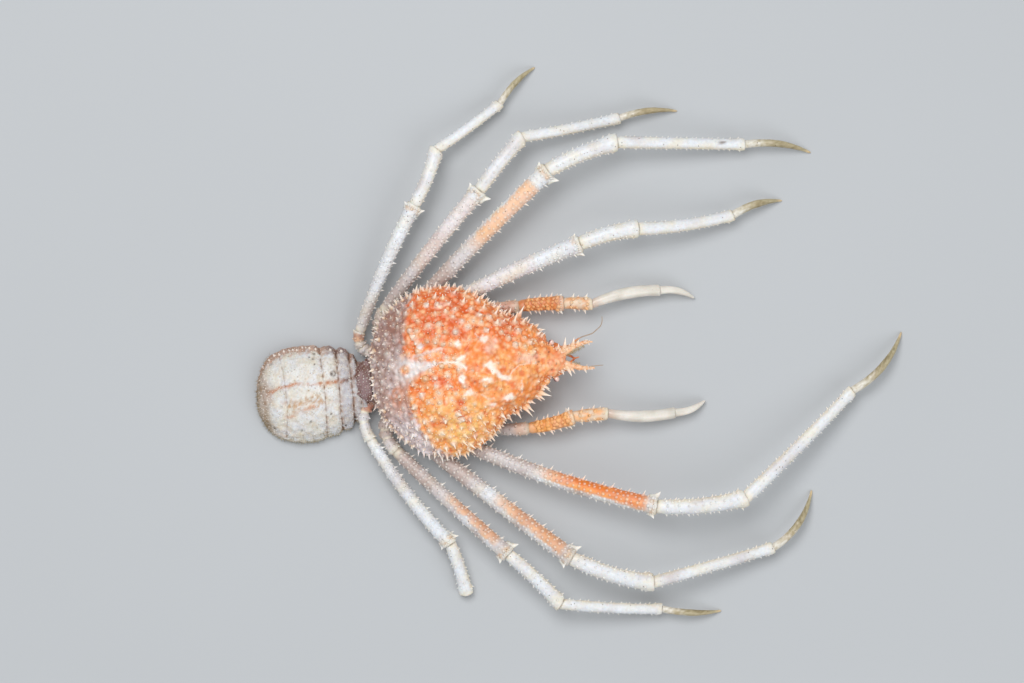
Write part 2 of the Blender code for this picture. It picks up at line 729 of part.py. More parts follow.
def curve_piece(start, leave, end, arrive, widths):
    # The short base of a limb, which leaves the breastplate square and turns into the merus
    reach = (end - start).length * 0.45
    first = start + leave * reach
    second = end - arrive * reach
    frames = []
    for share, swell in SWELL["base"]:
        # near and far lie on the tangent of the curve, which touches it at middle
        near = start.lerp(first, share).lerp(first.lerp(second, share), share)
        far = first.lerp(second, share).lerp(second.lerp(end, share), share)
        middle = near.lerp(far, share)
        plane = (far - near).normalized()
        if share == 0.0:
            middle = middle + leave * GAP
            plane = leave
        if share == 1.0:
            middle = middle - arrive * GAP / 2
            plane = arrive
        half = taper(widths, share) * swell / 2
        frames.append(ring_at(middle, plane, half, half * FLATNESS))
    return frames


def edge_spines(piece, count, front_length, rear_length, radius, front_side):
    # Rows on the front and the rear edge of a piece, leaning towards its far end
    pieces = []
    for edge in (-1, 1):
        length = front_length if edge == front_side else rear_length
        for index in range(count):
            share = between(*SPINE_ROW, (index + 0.25 * (edge + 1)) / (count - 0.5))
            pieces.append(edge_spine(piece, share, edge, length, radius, SPINE_LEAN))
    return pieces


def edge_spine(piece, share, edge, length, radius, lean):
    along = piece.along(share)
    left = Vector((-along.y, along.x, 0)).normalized()
    half = taper(piece.widths, share) / 2
    towards = (left * edge + along * lean + UP * SPINE_LIFT).normalized()
    foot = piece.middle(share) + left * edge * half * 0.93 + UP * 0.1 * half
    return spine(foot, towards, length, radius, min(SINK, half * 0.5))


def limb_pieces(name, limb):
    # The chain of pieces, seen from above by span and heading, with the joints at their heights
    side = 1 if "left" in name else -1
    kinds = CLAW_PIECES if limb["number"] == 1 else LEG_PIECES
    table = CLAW_WIDTHS if limb["number"] == 1 else LEG_WIDTHS[limb["number"]]
    start = Vector((*limb["start"], limb["heights"][0]))
    chain = []
    for index, span in enumerate(limb["spans"]):
        heading = math.radians(limb["headings"][index])
        level = Vector((math.cos(heading), math.sin(heading), 0))
        end = start + level * span
        end.z = limb["heights"][index + 1]
        outer = Vector((-level.y, level.x, 0)) * side
        kind = kinds[index]
        bend = outer * limb["bows"][index] + UP * ARCH[kind] * span
        chain.append(Piece(kind, start, end, bend, table[kind]))
        start = end
    for before, after in zip(chain, chain[1:]):
        joint = (before.along(1.0) + after.along(0.0)).normalized()
        before.planes[1] = joint
        after.planes[0] = joint
    return chain


def limb_root(number, side):
    # Middle and outward direction of the breastplate edge that carries this limb
    front = Vector((*STERNUM_HALF[number - 1], 0))
    rear = Vector((*STERNUM_HALF[number], 0))
    middle = (front + rear) / 2
    edge = (front - rear).normalized()
    normal = Vector((-edge.y, edge.x, 0))
    middle.y *= side
    normal.y *= side
    middle.z = ROOT_HEIGHTS[number]
    return middle, normal


def piece_colour(name, kind):
    if name in ORANGE_PIECES:
        return "orange_limb"
    return {"dactylus": "tip", "finger": "claw", "palm": "claw"}.get(kind, "limb")


def make_limb(name, limb):
    side = 1 if "left" in name else -1
    number = limb["number"]
    chain = limb_pieces(name, limb)
    root, leave = limb_root(number, side)
    table = CLAW_WIDTHS if number == 1 else LEG_WIDTHS[number]
    frames = curve_piece(root, leave, chain[0].start, chain[0].along(0.0), table["base"])
    finish(name + "_base", tube(frames, LIMB_SIDES), "limb")
    rows = CLAW_SPINES if number == 1 else EDGE_SPINES
    for piece in chain:
        full = name + "_" + piece.kind
        if piece.kind == "finger":
            make_finger(name, piece)
            continue
        shape = tube(piece.frames(), LIMB_SIDES)
        if piece.kind == "dactylus":
            settle(shape)
        body = finish(full, shape, piece_colour(full, piece.kind))
        grown = []
        if piece.kind in rows:
            grown += edge_spines(piece, *rows[piece.kind], -side)
        if piece.kind == "merus":
            grown += [edge_spine(piece, KNEE_SHARE, edge, *KNEE_SPINE, KNEE_LEAN) for edge in (-1, 1)]
        if piece.kind == "palm":
            grown.append(fixed_finger(piece, chain[-1]))
        if grown:
            fuse(body, grown)


def settle(shape):
    # A toe that would reach below the floor gets a small flat on it
    for vert in shape.verts:
        vert.co.z = max(vert.co.z, 0.0)


def finger_frames(piece, height, back):
    # One of the two fingers, which lie over each other
    frames = []
    for share, swell in SWELL["finger"]:
        half = taper(piece.widths, share) * swell / 2
        middle = piece.middle(share) + UP * height * half
        plane = piece.along(share)
        if share == 0.0:
            plane = piece.planes[0]
            middle = middle + plane * (GAP / 2 - back)
        frames.append(ring_at(middle, plane, half, half * FINGER_FLATNESS))
    return frames


def make_finger(name, piece):
    shape = tube(finger_frames(piece, FINGER_RISE[1], 0.0), LIMB_SIDES)
    finish(name + "_finger", shape, "claw")


def fixed_finger(palm, finger):
    # The palm's own finger, rooted inside its end
    lower = tube(finger_frames(finger, FINGER_RISE[0], FINGER_ROOT), LIMB_SIDES)
    settle(lower)
    return finish("fixed_finger", lower)


def set_on_origin():
    # The floor under the middle of the whole crab becomes the origin
    pieces = [piece for piece in bpy.data.objects if piece.type == "MESH"]
    corners = [piece.matrix_world @ vert.co for piece in pieces for vert in piece.data.vertices]
    low = Vector(min(corner[axis] for corner in corners) for axis in range(3))
    high = Vector(max(corner[axis] for corner in corners) for axis in range(3))
    crab = bpy.data.objects.new("crab", None)
    bpy.context.scene.collection.objects.link(crab)
    crab.location = (-(low.x + high.x) / 2, -(low.y + high.y) / 2, -low.z)
    for piece in pieces:
        piece.parent = crab
        piece.data.shade_smooth()
        piece.data.set_sharp_from_angle(angle=math.radians(35))


def main():
    clear_scene()
    make_shell()
    make_rostrum()
    for side in (-1, 1):
        make_eye(side)
    make_antenna("antenna_left", 1, ANTENNA_LEFT)
    make_antenna("antenna_right", -1, ANTENNA_RIGHT)
    make_sternum()
    make_mouthparts()
    make_pleon()
    for name, limb in LIMBS.items():
        make_limb(name, limb)
    set_on_origin()


main()
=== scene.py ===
import math

import bmesh
import bpy
import numpy as np
from mathutils import Matrix, Vector
from mathutils.kdtree import KDTree


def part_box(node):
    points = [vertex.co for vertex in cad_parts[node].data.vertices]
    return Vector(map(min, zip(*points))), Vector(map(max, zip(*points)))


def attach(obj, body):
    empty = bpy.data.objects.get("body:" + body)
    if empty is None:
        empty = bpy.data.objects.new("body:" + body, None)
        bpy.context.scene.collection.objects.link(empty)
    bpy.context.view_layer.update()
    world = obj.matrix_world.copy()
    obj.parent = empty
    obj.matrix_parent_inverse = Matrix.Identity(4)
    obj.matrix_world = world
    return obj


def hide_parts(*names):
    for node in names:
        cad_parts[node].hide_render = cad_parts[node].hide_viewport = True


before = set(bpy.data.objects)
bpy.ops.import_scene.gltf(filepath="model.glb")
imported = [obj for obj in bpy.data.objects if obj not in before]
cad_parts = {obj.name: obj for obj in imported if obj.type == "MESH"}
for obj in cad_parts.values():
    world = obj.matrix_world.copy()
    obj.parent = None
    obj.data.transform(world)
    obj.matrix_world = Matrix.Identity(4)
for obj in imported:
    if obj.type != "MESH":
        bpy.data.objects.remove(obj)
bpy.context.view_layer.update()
print("frame loaded with", len(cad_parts), "nodes")

# All shapes are worked out in millimetres from the crab's own origin: +X runs along the rostrum,
# +Y to the animal's left, and the floor is at 0. home is where that origin stands in the frame.
millimetre = 0.001
floorGap = 0.01  # the lowest point of any piece
breastMiddle = -9.75  # x of the breastplate's middle from the origin
breastLow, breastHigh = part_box("sternum")
home = (breastLow + breastHigh) / 2 - Vector((breastMiddle * millimetre, 0, 0))
home.z = 0.0


def between(low, high, share):
    return low + (high - low) * share


def ease(value):
    # 0 below 0, 1 above 1, smooth in between
    value = np.clip(value, 0.0, 1.0)
    return value * value * (3 - 2 * value)


def ink(red, green, blue, gloss=0.3):
    # A colour as a screen shows it, turned to the linear values of an attribute, with its gloss
    linear = [((part / 255 + 0.055) / 1.055) ** 2.4 for part in (red, green, blue)]
    return np.array([*linear, gloss])


def mixInk(first, second, share):
    share = np.asarray(share, float)[..., None]
    return first * (1 - share) + second * share


def ripple(points, length, seed, waves=20):
    # A smooth random field, about -1 to 1, with bumps of this length
    draw = np.random.default_rng(seed)
    way = draw.normal(size=(waves, 3))
    way *= (2 * math.pi / length * draw.uniform(0.5, 1.4, waves) / np.linalg.norm(way, axis=1))[:, None]
    return np.sin(points @ way.T + draw.uniform(0, 6.3, waves)).sum(1) / math.sqrt(waves)


def offLine(points, path):
    # Distance of each point from a line through path, seen from above
    best = np.full(len(points), 1e9)
    for start, end in zip(np.array(path[:-1], float), np.array(path[1:], float)):
        span = end - start
        share = np.clip(((points[:, :2] - start) @ span) / (span @ span), 0, 1)
        best = np.minimum(best, np.linalg.norm(points[:, :2] - start - share[:, None] * span, axis=1))
    return best


def spot(points, x, y, wide, deep=None, soft=2):
    # 1 at a place on the plan, falling off over wide and deep
    far = ((points[:, 0] - x) / wide) ** 2 + ((points[:, 1] - y) / (deep or wide)) ** 2
    return np.exp(-far ** (soft / 2))


# Meshes as arrays: points, the corners of the faces, and how many corners each face has
def sleeve(rings, sides, place):
    # A closed tube grown ring by ring from a circle; place(ring, across, up) sets each point
    shape = bmesh.new()
    bmesh.ops.create_circle(shape, cap_ends=True, segments=sides, radius=1.0)
    rim = list(shape.edges)
    for _ in range(rings - 1):
        grown = bmesh.ops.extrude_edge_only(shape, edges=rim)["geom"]
        fresh = {part for part in grown if isinstance(part, bmesh.types.BMVert)}
        bmesh.ops.translate(shape, vec=(0, 0, 1), verts=list(fresh))
        edges = [part for part in grown if isinstance(part, bmesh.types.BMEdge)]
        rim = [edge for edge in edges if fresh.issuperset(edge.verts)]
    bmesh.ops.edgeloop_fill(shape, edges=rim)
    marks = [(round(vert.co.z), vert.co.x, vert.co.y) for vert in shape.verts]
    for vert, mark in zip(shape.verts, marks):
        vert.co = place(*mark)
    skin = skinOf(shape)
    skin["ring"] = np.array([mark[0] for mark in marks])
    skin["turn"] = np.array([math.atan2(mark[2], mark[1]) for mark in marks])
    return skin


def skinOf(shape):
    # The arrays of a bmesh, with its faces turned outwards
    bmesh.ops.recalc_face_normals(shape, faces=shape.faces)
    if shape.calc_volume(signed=True) < 0:
        bmesh.ops.reverse_faces(shape, faces=shape.faces)
    mesh = bpy.data.meshes.new("draft")
    shape.to_mesh(mesh)
    shape.free()
    skin = readMesh(mesh)
    bpy.data.meshes.remove(mesh)
    return skin


def readMesh(mesh):
    def values(items, key, kind, size=1):
        array = np.empty(len(items) * size, kind)
        items.foreach_get(key, array)
        return array

    return {
        "points": values(mesh.vertices, "co", np.float32, 3).reshape(-1, 3).astype(float),
        "normals": values(mesh.vertices, "normal", np.float32, 3).reshape(-1, 3).astype(float),
        "corners": values(mesh.loops, "vertex_index", np.int32),
        "sizes": values(mesh.polygons, "loop_total", np.int32),
    }


def writeMesh(name, skin):
    mesh = bpy.data.meshes.new(name)
    mesh.vertices.add(len(skin["points"]))
    mesh.vertices.foreach_set("co", skin["points"].astype(np.float32).ravel())
    mesh.loops.add(len(skin["corners"]))
    mesh.loops.foreach_set("vertex_index", skin["corners"].astype(np.int32))
    mesh.polygons.add(len(skin["sizes"]))
    starts = np.concatenate([[0], np.cumsum(skin["sizes"])[:-1]])
    mesh.polygons.foreach_set("loop_start", starts.astype(np.int32))
    mesh.update(calc_edges=True)
    if "tint" in skin:
        attribute = mesh.attributes.new("tint", "FLOAT_COLOR", "POINT")
        attribute.data.foreach_set("color", skin["tint"].astype(np.float32).ravel())
    if "patch" in skin:
        layer = mesh.uv_layers.new(name="OFBake")
        layer.data.foreach_set("uv", skin["patch"][skin["corners"]].astype(np.float32).ravel())
    return mesh


def joinSkins(*skins):
    skins = [skin for skin in skins if skin]
    starts = np.cumsum([0] + [len(skin["points"]) for skin in skins])
    joined = {"corners": np.concatenate([skin["corners"] + start for skin, start in zip(skins, starts)])}
    for key in ("points", "sizes", "tint", "patch"):
        if all(key in skin for skin in skins):
            joined[key] = np.concatenate([skin[key] for skin in skins])
    return joined


def liftTo(skin, height):
    # No point of the skin stays lower than this
    skin["points"][:, 2] = np.maximum(skin["points"][:, 2], height)


def makePiece(name, skin, material, nodes=()):
    # Puts a finished skin into the frame as one piece, which stands for the named nodes
    liftTo(skin, floorGap)
    mesh = writeMesh(name, skin)
    mesh.transform(Matrix.Translation(home) @ Matrix.Scale(millimetre, 4))
    mesh.shade_smooth()
    mesh.materials.append(material)
    piece = addObject(name, mesh)
    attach(piece, "root")
    if nodes:
        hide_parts(*nodes)
    return piece


def addObject(name, data):
    made = bpy.data.objects.new(name, data)
    bpy.context.scene.collection.objects.link(made)
    return made


def dress(node, skin, material):
    # The skin of a single node
    return makePiece(node + "_skin", skin, material, (node,))


def thorn(profile, sides):
    # A closed spine of unit length along +Z, from rings of (height, radius)
    def place(ring, across, up):
        height, radius = profile[ring]
        return Vector((across * radius, up * radius, height))

    return sleeve(len(profile), sides, place)


thorns = {
    "spine": thorn(((-0.25, 1.5), (0.03, 1.12), (0.22, 0.74), (0.5, 0.44), (0.8, 0.22), (1.0, 0.05)), 7),
    "tubercle": thorn(((-0.3, 1.7), (0.0, 1.3), (0.25, 0.95), (0.55, 0.64), (0.82, 0.36), (1.0, 0.1)), 8),
    "granule": thorn(((-0.3, 1.25), (0.25, 0.95), (0.7, 0.5), (1.0, 0.12)), 6),
    "bristle": thorn(((-0.1, 1.0), (0.45, 0.8), (1.0, 0.12)), 3),
}


def unit(vectors):
    return vectors / np.maximum(np.linalg.norm(vectors, axis=-1, keepdims=True), 1e-9)


def grow(form, feet, aims, lengths, widths, rootInk, tipInk, seed, curl=0.0, fade=1.0):
    # Copies of one form, each on its foot along its aim, curling towards its own side
    draw = np.random.default_rng(seed)
    count = len(feet)
    if count == 0:
        return None
    base = thorns[form]
    aims = unit(aims)
    helper = np.where(np.abs(aims[:, 2:3]) < 0.9, np.array([[0.0, 0.0, 1.0]]), np.array([[1.0, 0.0, 0.0]]))
    first = unit(np.cross(helper, aims))
    second = np.cross(aims, first)
    spin = draw.uniform(0, 2 * math.pi, count)[:, None]
    side = first * np.cos(spin) + second * np.sin(spin)
    across = np.cross(aims, side)
    x, y, z = (base["points"][:, axis][None, :, None] for axis in range(3))
    wide = np.broadcast_to(widths, count)[:, None, None]
    long = np.broadcast_to(lengths, count)[:, None, None]
    bend = np.broadcast_to(curl, count)[:, None, None] * np.maximum(z, 0) ** 2
    points = feet[:, None] + wide * (x * side[:, None] + y * across[:, None])
    points = points + long * (z * aims[:, None] + bend * across[:, None])
    share = np.clip(base["points"][:, 2], 0, 1) ** fade
    rootInk = np.broadcast_to(rootInk, (count, 4))[:, None]
    tipInk = np.broadcast_to(tipInk, (count, 4))[:, None]
    tint = rootInk * (1 - share)[None, :, None] + tipInk * share[None, :, None]
    size = base["points"].shape[0]
    corners = base["corners"][None] + (np.arange(count) * size)[:, None]
    return {
        "points": points.reshape(-1, 3),
        "corners": corners.ravel(),
        "sizes": np.tile(base["sizes"], count),
        "tint": tint.reshape(-1, 4),
    }


setae = []  # bristles of all parts, joined to one piece at the end


def addSetae(feet, aims, lengths, radius, rootInk, tipInk, places, seed):
    # places holds where each bristle stands on an unwrap of its own part
    hairs = grow("bristle", feet, aims, lengths, radius, rootInk, tipInk, seed, 0.35, 1.2)
    patch = 0.003 * thorns["bristle"]["points"][:, (0, 2)] * (0.5, 1.0)
    hairs["patch"] = (places[:, None] + patch[None]).reshape(-1, 2)
    setae.append(hairs)


def scatter(points, gaps, seed, taken=None):
    # Indices of points in random order, each kept if it stands at least its gap from those kept before
    kept = np.full((len(points), 3), 1e9)
    count = 0
    if taken is not None:
        kept[:len(taken)] = taken
        count = len(taken)
    chosen = []
    for index in np.random.default_rng(seed).permutation(len(points)):
        point = points[index]
        if ((kept[:count] - point) ** 2).sum(1).min(initial=1e9) > gaps[index] ** 2:
            kept[count] = point
            count += 1
            chosen.append(index)
    return np.array(chosen, int)


# Materials
def feed(tree, socket, value):
    # Links a socket to the output of another node, or sets its constant
    if isinstance(value, bpy.types.NodeSocket):
        tree.links.new(value, socket)
    else:
        socket.default_value = value


def addNode(tree, kind, inputs=None, **settings):
    node = tree.nodes.new("ShaderNode" + kind)
    for key, value in settings.items():
        setattr(node, key, value)
    for key, value in (inputs or {}).items():
        feed(tree, node.inputs[key], value)
    return node


def mixColour(tree, factor, first, second, blend="MIX"):
    node = addNode(tree, "Mix", data_type="RGBA", blend_type=blend)
    for place, value in ((0, factor), (6, first), (7, second)):
        feed(tree, node.inputs[place], value)
    return node.outputs[2]


def sums(tree, operation, first, second=0.5, third=0.5):
    node = addNode(tree, "Math", operation=operation)
    for socket, value in zip(node.inputs, (first, second, third)):
        feed(tree, socket, value)
    return node.outputs[0]


# Noise of the horny group: scale to the metre, detail, roughness, and the range that is spread to 0 to 1
chitinNoise = {"broad": (170.0, 4.0, 0.6, 0.38, 0.66), "fine": (900.0, 5.0, 0.65, 0.36, 0.68)}


def noiseOf(tree, vector, scale, detail, roughness, low, high):
    given = {"Vector": vector, "Scale": scale, "Detail": detail, "Roughness": roughness}
    noise = addNode(tree, "TexNoise", given).outputs[0]
    return addNode(tree, "MapRange", {"Value": noise, "From Min": low, "From Max": high}).outputs[0]


def buildChitin():
    # Horny shell: broad clouds, fine mottling, dark specks and a grain of tiny pits and bumps
    tree = bpy.data.node_groups.new("chitin", "ShaderNodeTree")
    for name, kind in (("Vector", "Vector"), ("Tint", "Color"), ("Gloss", "Float"), ("Cloud", "Float"),
                       ("Mottle", "Float"), ("Specks", "Float"), ("Roughness", "Float")):
        tree.interface.new_socket(name, in_out="INPUT", socket_type="NodeSocket" + kind)
    for name, kind in (("Color", "Color"), ("Roughness", "Float"), ("Height", "Float")):
        tree.interface.new_socket(name, in_out="OUTPUT", socket_type="NodeSocket" + kind)
    given = tree.nodes.new("NodeGroupInput").outputs
    vector = given["Vector"]
    broad, fine = (noiseOf(tree, vector, *chitinNoise[name]) for name in ("broad", "fine"))
    deep = mixColour(tree, 1.0, given["Tint"], (0.86, 0.66, 0.5, 1), "MULTIPLY")
    colour = mixColour(tree, sums(tree, "MULTIPLY", broad, given["Cloud"]), given["Tint"], deep)
    pale = mixColour(tree, 1.0, colour, (1.1, 1.12, 1.14, 1), "MULTIPLY")
    dull = mixColour(tree, 1.0, colour, (0.8, 0.74, 0.68, 1), "MULTIPLY")
    varied = mixColour(tree, fine, dull, pale)
    colour = mixColour(tree, given["Mottle"], colour, varied)
    cells = addNode(tree, "TexVoronoi", {"Vector": vector, "Scale": 820.0, "Randomness": 1.0})
    chance = addNode(tree, "SeparateColor", {"Color": cells.outputs["Color"]})
    near = sums(tree, "LESS_THAN", cells.outputs["Distance"], 0.17)
    rare = sums(tree, "GREATER_THAN", chance.outputs[0], 0.8)
    specks = sums(tree, "MULTIPLY", sums(tree, "MULTIPLY", near, rare), given["Specks"])
    colour = mixColour(tree, specks, colour, (0.13, 0.075, 0.04, 1))
    pits = addNode(tree, "TexVoronoi", {"Vector": vector, "Scale": 2100.0}).outputs["Distance"]
    grain = sums(tree, "MULTIPLY_ADD", fine, 0.6, sums(tree, "MULTIPLY", pits, 0.5))
    rough = sums(tree, "MULTIPLY_ADD", given["Gloss"], -0.35, given["Roughness"])
    rough = sums(tree, "MULTIPLY_ADD", fine, 0.16, rough)
    out = tree.nodes.new("NodeGroupOutput")
    tree.links.new(colour, out.inputs["Color"])
    tree.links.new(rough, out.inputs["Roughness"])
    tree.links.new(grain, out.inputs["Height"])
    return tree


chitin = buildChitin()


def horny(name, cloud=0.5, mottle=0.5, specks=0.3, roughness=0.5, bump=0.25, sheer=0.1, coat=0.1):
    # A material of the horny group, coloured by the piece's own tint
    material = bpy.data.materials.new(name)
    material.use_nodes = True
    tree = material.node_tree
    shader = tree.nodes["Principled BSDF"]
    place = addNode(tree, "TexCoord").outputs["Object"]
    paint = addNode(tree, "Attribute", attribute_name="tint")
    group = tree.nodes.new("ShaderNodeGroup")
    group.node_tree = chitin
    given = {"Vector": place, "Tint": paint.outputs["Color"], "Gloss": paint.outputs["Alpha"],
             "Cloud": cloud, "Mottle": mottle, "Specks": specks, "Roughness": roughness}
    for key, value in given.items():
        feed(tree, group.inputs[key], value)
    relief = addNode(tree, "Bump", {"Height": group.outputs["Height"], "Strength": bump, "Distance": 0.00012})
    tree.links.new(group.outputs["Color"], shader.inputs["Base Color"])
    tree.links.new(group.outputs["Roughness"], shader.inputs["Roughness"])
    tree.links.new(relief.outputs["Normal"], shader.inputs["Normal"])
    shader.inputs["Subsurface Weight"].default_value = sheer
    shader.inputs["Subsurface Radius"].default_value = (1.0, 0.55, 0.35)
    shader.inputs["Subsurface Scale"].default_value = 0.0012
    shader.inputs["Coat Weight"].default_value = coat
    shader.inputs["Coat Roughness"].default_value = 0.25
    return material


shellPaint = horny("shellPaint", cloud=0.3, mottle=0.45, specks=0.5, bump=0.3, sheer=0.15, coat=0.2)
limbPaint = horny("limbPaint", cloud=0.06, mottle=0.35, specks=0.8, roughness=0.52, bump=0.3, sheer=0.12)
clawPaint = horny("clawPaint", cloud=0.03, mottle=0.2, specks=0.15, roughness=0.4, bump=0.12, sheer=0.15,
                  coat=0.3)
tailPaint = horny("tailPaint", cloud=0.1, specks=0.5, roughness=0.58, bump=0.4)
toePaint = horny("toePaint", cloud=0.25, mottle=0.7, specks=0.8, bump=0.35, sheer=0.0)
bellyPaint = horny("bellyPaint", cloud=0.4, roughness=0.55, bump=0.3)
feelerPaint = horny("feelerPaint", cloud=0.4, specks=0.2, bump=0.2)
eyePaint = horny("eyePaint", cloud=0.2, mottle=0.25, specks=0.0, roughness=0.3, bump=0.08, coat=0.9)
print("materials ready")

# Colours read from the photo
inks = {
    "deepOrange": ink(222, 96, 34), "orange": ink(250, 148, 64), "paleOrange": ink(252, 178, 98),
    "amber": ink(255, 212, 126), "peach": ink(255, 208, 160, 0.5), "white": ink(255, 249, 240, 0.6),
    "funnel": ink(232, 227, 227, 0.6), "lilac": ink(164, 134, 126, 0.55),
    "lilacPale": ink(210, 197, 200, 0.6), "cream": ink(231, 229, 220, 0.35),
    "cool": ink(228, 232, 238, 0.4), "bone": ink(216, 204, 184), "edge": ink(244, 228, 196),
    "rose": ink(206, 168, 148), "legOrange": ink(230, 122, 38), "legTan": ink(216, 134, 56),
    "legPeach": ink(244, 176, 116), "clawOrange": ink(214, 116, 40), "rust": ink(172, 78, 34),
    "brown": ink(120, 86, 58, 0.25), "joint": ink(236, 229, 208, 0.4), "olive": ink(184, 174, 142),
    "darkOlive": ink(132, 120, 86, 0.25), "horn": ink(222, 200, 158, 0.7),
    "legLilac": ink(182, 159, 150, 0.5),
    # Back, beak and horns
    "scarlet": ink(226, 110, 56), "beakPeach": ink(250, 180, 138), "beakRed": ink(232, 112, 48),
    "rearBrown": ink(150, 92, 66), "rearTan": ink(214, 138, 96), "rearPale": ink(232, 220, 224),
    "rearHollow": ink(132, 96, 90), "hornDark": ink(246, 178, 132), "hornPale": ink(255, 216, 178),
    "hornSpine": ink(252, 200, 156), "hairRoot": ink(240, 222, 180), "hairTip": ink(122, 98, 56),
    # Claws and legs
    # clawShade and the grey after it are the claws' painted shade and painted light
    "clawTan": ink(230, 196, 160), "clawShade": ink(208, 202, 190), "clawLit": ink(228, 223, 214),
    "clawBead": ink(255, 206, 146), "hipBrown": ink(176, 92, 58), "orangeRim": ink(238, 186, 136),
    "kneeStain": ink(214, 164, 108),
    # Tail plate
    "tailWarm": ink(224, 222, 214), "tailCool": ink(222, 224, 228), "tailFront": ink(180, 178, 186),
    "tailBrown": ink(148, 116, 90), "tailBeige": ink(216, 202, 190), "tailRust": ink(150, 96, 66),
    "rimBrown": ink(160, 120, 98), "rimPink": ink(196, 158, 138), "rimGrey": ink(140, 112, 108),
    "rimOlive": ink(164, 150, 108), "cornerOlive": ink(140, 114, 72), "grooveTan": ink(190, 122, 80),
    "grooveBrown": ink(110, 64, 46), "stainTan": ink(190, 146, 100), "streakPink": ink(208, 160, 134),
    "seamTan": ink(178, 136, 104), "seamBrown": ink(96, 68, 50), "rootBrown": ink(116, 76, 62),
    "rootLilac": ink(154, 128, 130), "rimHair": ink(176, 156, 104), "rimHairTip": ink(128, 112, 70),
    "grainTan": ink(190, 156, 118), "toothPink": ink(190, 160, 150),
    # Eyes and feelers
    "eyePink": ink(232, 200, 190, 0.9), "eyePlum": ink(92, 42, 66, 1.0), "prongOrange": ink(236, 140, 74),
    "feelerTan": ink(226, 156, 108), "whipGrey": ink(182, 166, 150),
}


def brush(tint, name, amount, most=1.0):
    # Lays a named ink over a tint, at most by this share
    return mixInk(tint, inks[name], np.clip(amount, 0, most))


def darken(tint, share, amount):
    # Lays brown over a tint, itself darkened to this share
    return mixInk(tint, inks["brown"] * (share, share, share, 1), amount)


# Shell: outline of two joined ellipses on the plan, then the arch of the back
shell = {
    "gillX": -4.0, "gillRadii": (26.0, 29.6),
    "frontX": 15.0, "frontRadii": (18.5, 17.2),
    "rear": -29.0, "front": 32.0,
    "rim": 15.0, "under": 11.5,
    "domeX": 2.0, "domeRadii": (31.6, 36.0), "domeHeight": 13.6,
    "shift": -1.1, "shiftReach": 17.0, "lean": 0.13,
    # Swellings: centre x, distance from the midline, radii, height
    "swellings": (
        (10.0, 0.0, 8.0, 9.0, 1.3), (-13.0, 0.0, 5.0, 4.5, 1.4), (-23.0, 0.0, 3.5, 4.0, 0.6),
        (-8.0, 15.5, 11.0, 8.5, 2.0), (20.5, 12.0, 4.5, 4.0, 1.0), (-1.0, 6.5, 3.0, 4.5, -1.5),
        (-13.0, 7.0, 7.5, 1.9, -1.3),
    ),
    "voxel": 0.45,
    "smoothing": 14,
    "rings": 56,
    "sides": 72,
    # Brow, wall behind the eye, first joint of the feeler: x, distance from the midline, shift, z, half sizes
    "lumps": ((33.2, 4.4, -0.7, 18.3, 2.4, 1.1, 1.0), (30.8, 7.7, 0.0, 15.6, 2.0, 1.4, 1.6),
              (34.2, 4.6, -0.5, 13.9, 3.4, 1.6, 1.5)),
    "crease": ((4.0, 4.5), (8.5, 11.0), (11.0, 17.0)),  # between the gill chamber and the middle
    # Depths of the marks
    "funnelDepth": 0.7, "lineDepth": 0.35, "patchHeight": 0.4, "hollowDepth": 0.35, "pitDepth": 0.5,
    "creaseDepth": 0.8,
}


def shellHalfWidth(x):
    spread = 0.0
    for centre, radii in ((shell["gillX"], shell["gillRadii"]), (shell["frontX"], shell["frontRadii"])):
        spread = spread + (radii[1] * np.sqrt(np.maximum(1 - ((x - centre) / radii[0]) ** 2, 0.0))) ** 10
    return spread ** 0.1


def shellPoint(x, share, upper):
    half = float(shellHalfWidth(x))
    y = half * share
    radius = shell["domeRadii"][0] if x < shell["domeX"] else shell["domeRadii"][1]
    height = shell["domeHeight"] * (1 - abs((x - shell["domeX"]) / radius) ** 2.4) ** 0.75
    for centre, aside, radiusX, radiusY, swell in shell["swellings"]:
        height += swell * math.exp(-((x - centre) / radiusX) ** 2 - ((abs(y) - aside) / radiusY) ** 2)
    height *= 1 - 0.35 * float(ease((x - 27) / 5.6))
    if upper:
        z = shell["rim"] + height * max(1 - abs(share) ** 2.3, 0.0) ** 0.6
    else:
        z = shell["rim"] - (shell["rim"] - shell["under"]) * math.sqrt(max(1 - share ** 6, 0.0))
    aside = shell["shift"] * math.exp(-((x - shell["gillX"]) / shell["shiftReach"]) ** 2)
    return Vector((x, y + aside + shell["lean"] * max(z - shell["rim"], 0), z))


def ball(x, y, z, wide, deep, high):
    shape = bmesh.new()
    bmesh.ops.create_uvsphere(shape, u_segments=20, v_segments=12, radius=1.0)
    bmesh.ops.scale(shape, vec=(wide, deep, high), verts=shape.verts)
    bmesh.ops.translate(shape, vec=(x, y, z), verts=shape.verts)
    return skinOf(shape)


def meltTogether(skins, voxel, rounds):
    # Overlapping closed skins become one even surface
    lump = addObject("lump", writeMesh("lump", joinSkins(*skins)))
    remesh = lump.modifiers.new("Remesh", "REMESH")
    remesh.mode = "VOXEL"
    remesh.voxel_size = voxel
    smooth = lump.modifiers.new("Smooth", "SMOOTH")
    smooth.factor = 0.5
    smooth.iterations = rounds
    graph = bpy.context.evaluated_depsgraph_get()
    mesh = bpy.data.meshes.new_from_object(lump.evaluated_get(graph))
    skin = readMesh(mesh)
    old = lump.data
    bpy.data.objects.remove(lump)
    bpy.data.meshes.remove(old)
    bpy.data.meshes.remove(mesh)
    return skin


def refreshNormals(skin):
    mesh = writeMesh("draft", {key: skin[key] for key in ("points", "corners", "sizes")})
    skin["normals"] = readMesh(mesh)["normals"]
    bpy.data.meshes.remove(mesh)


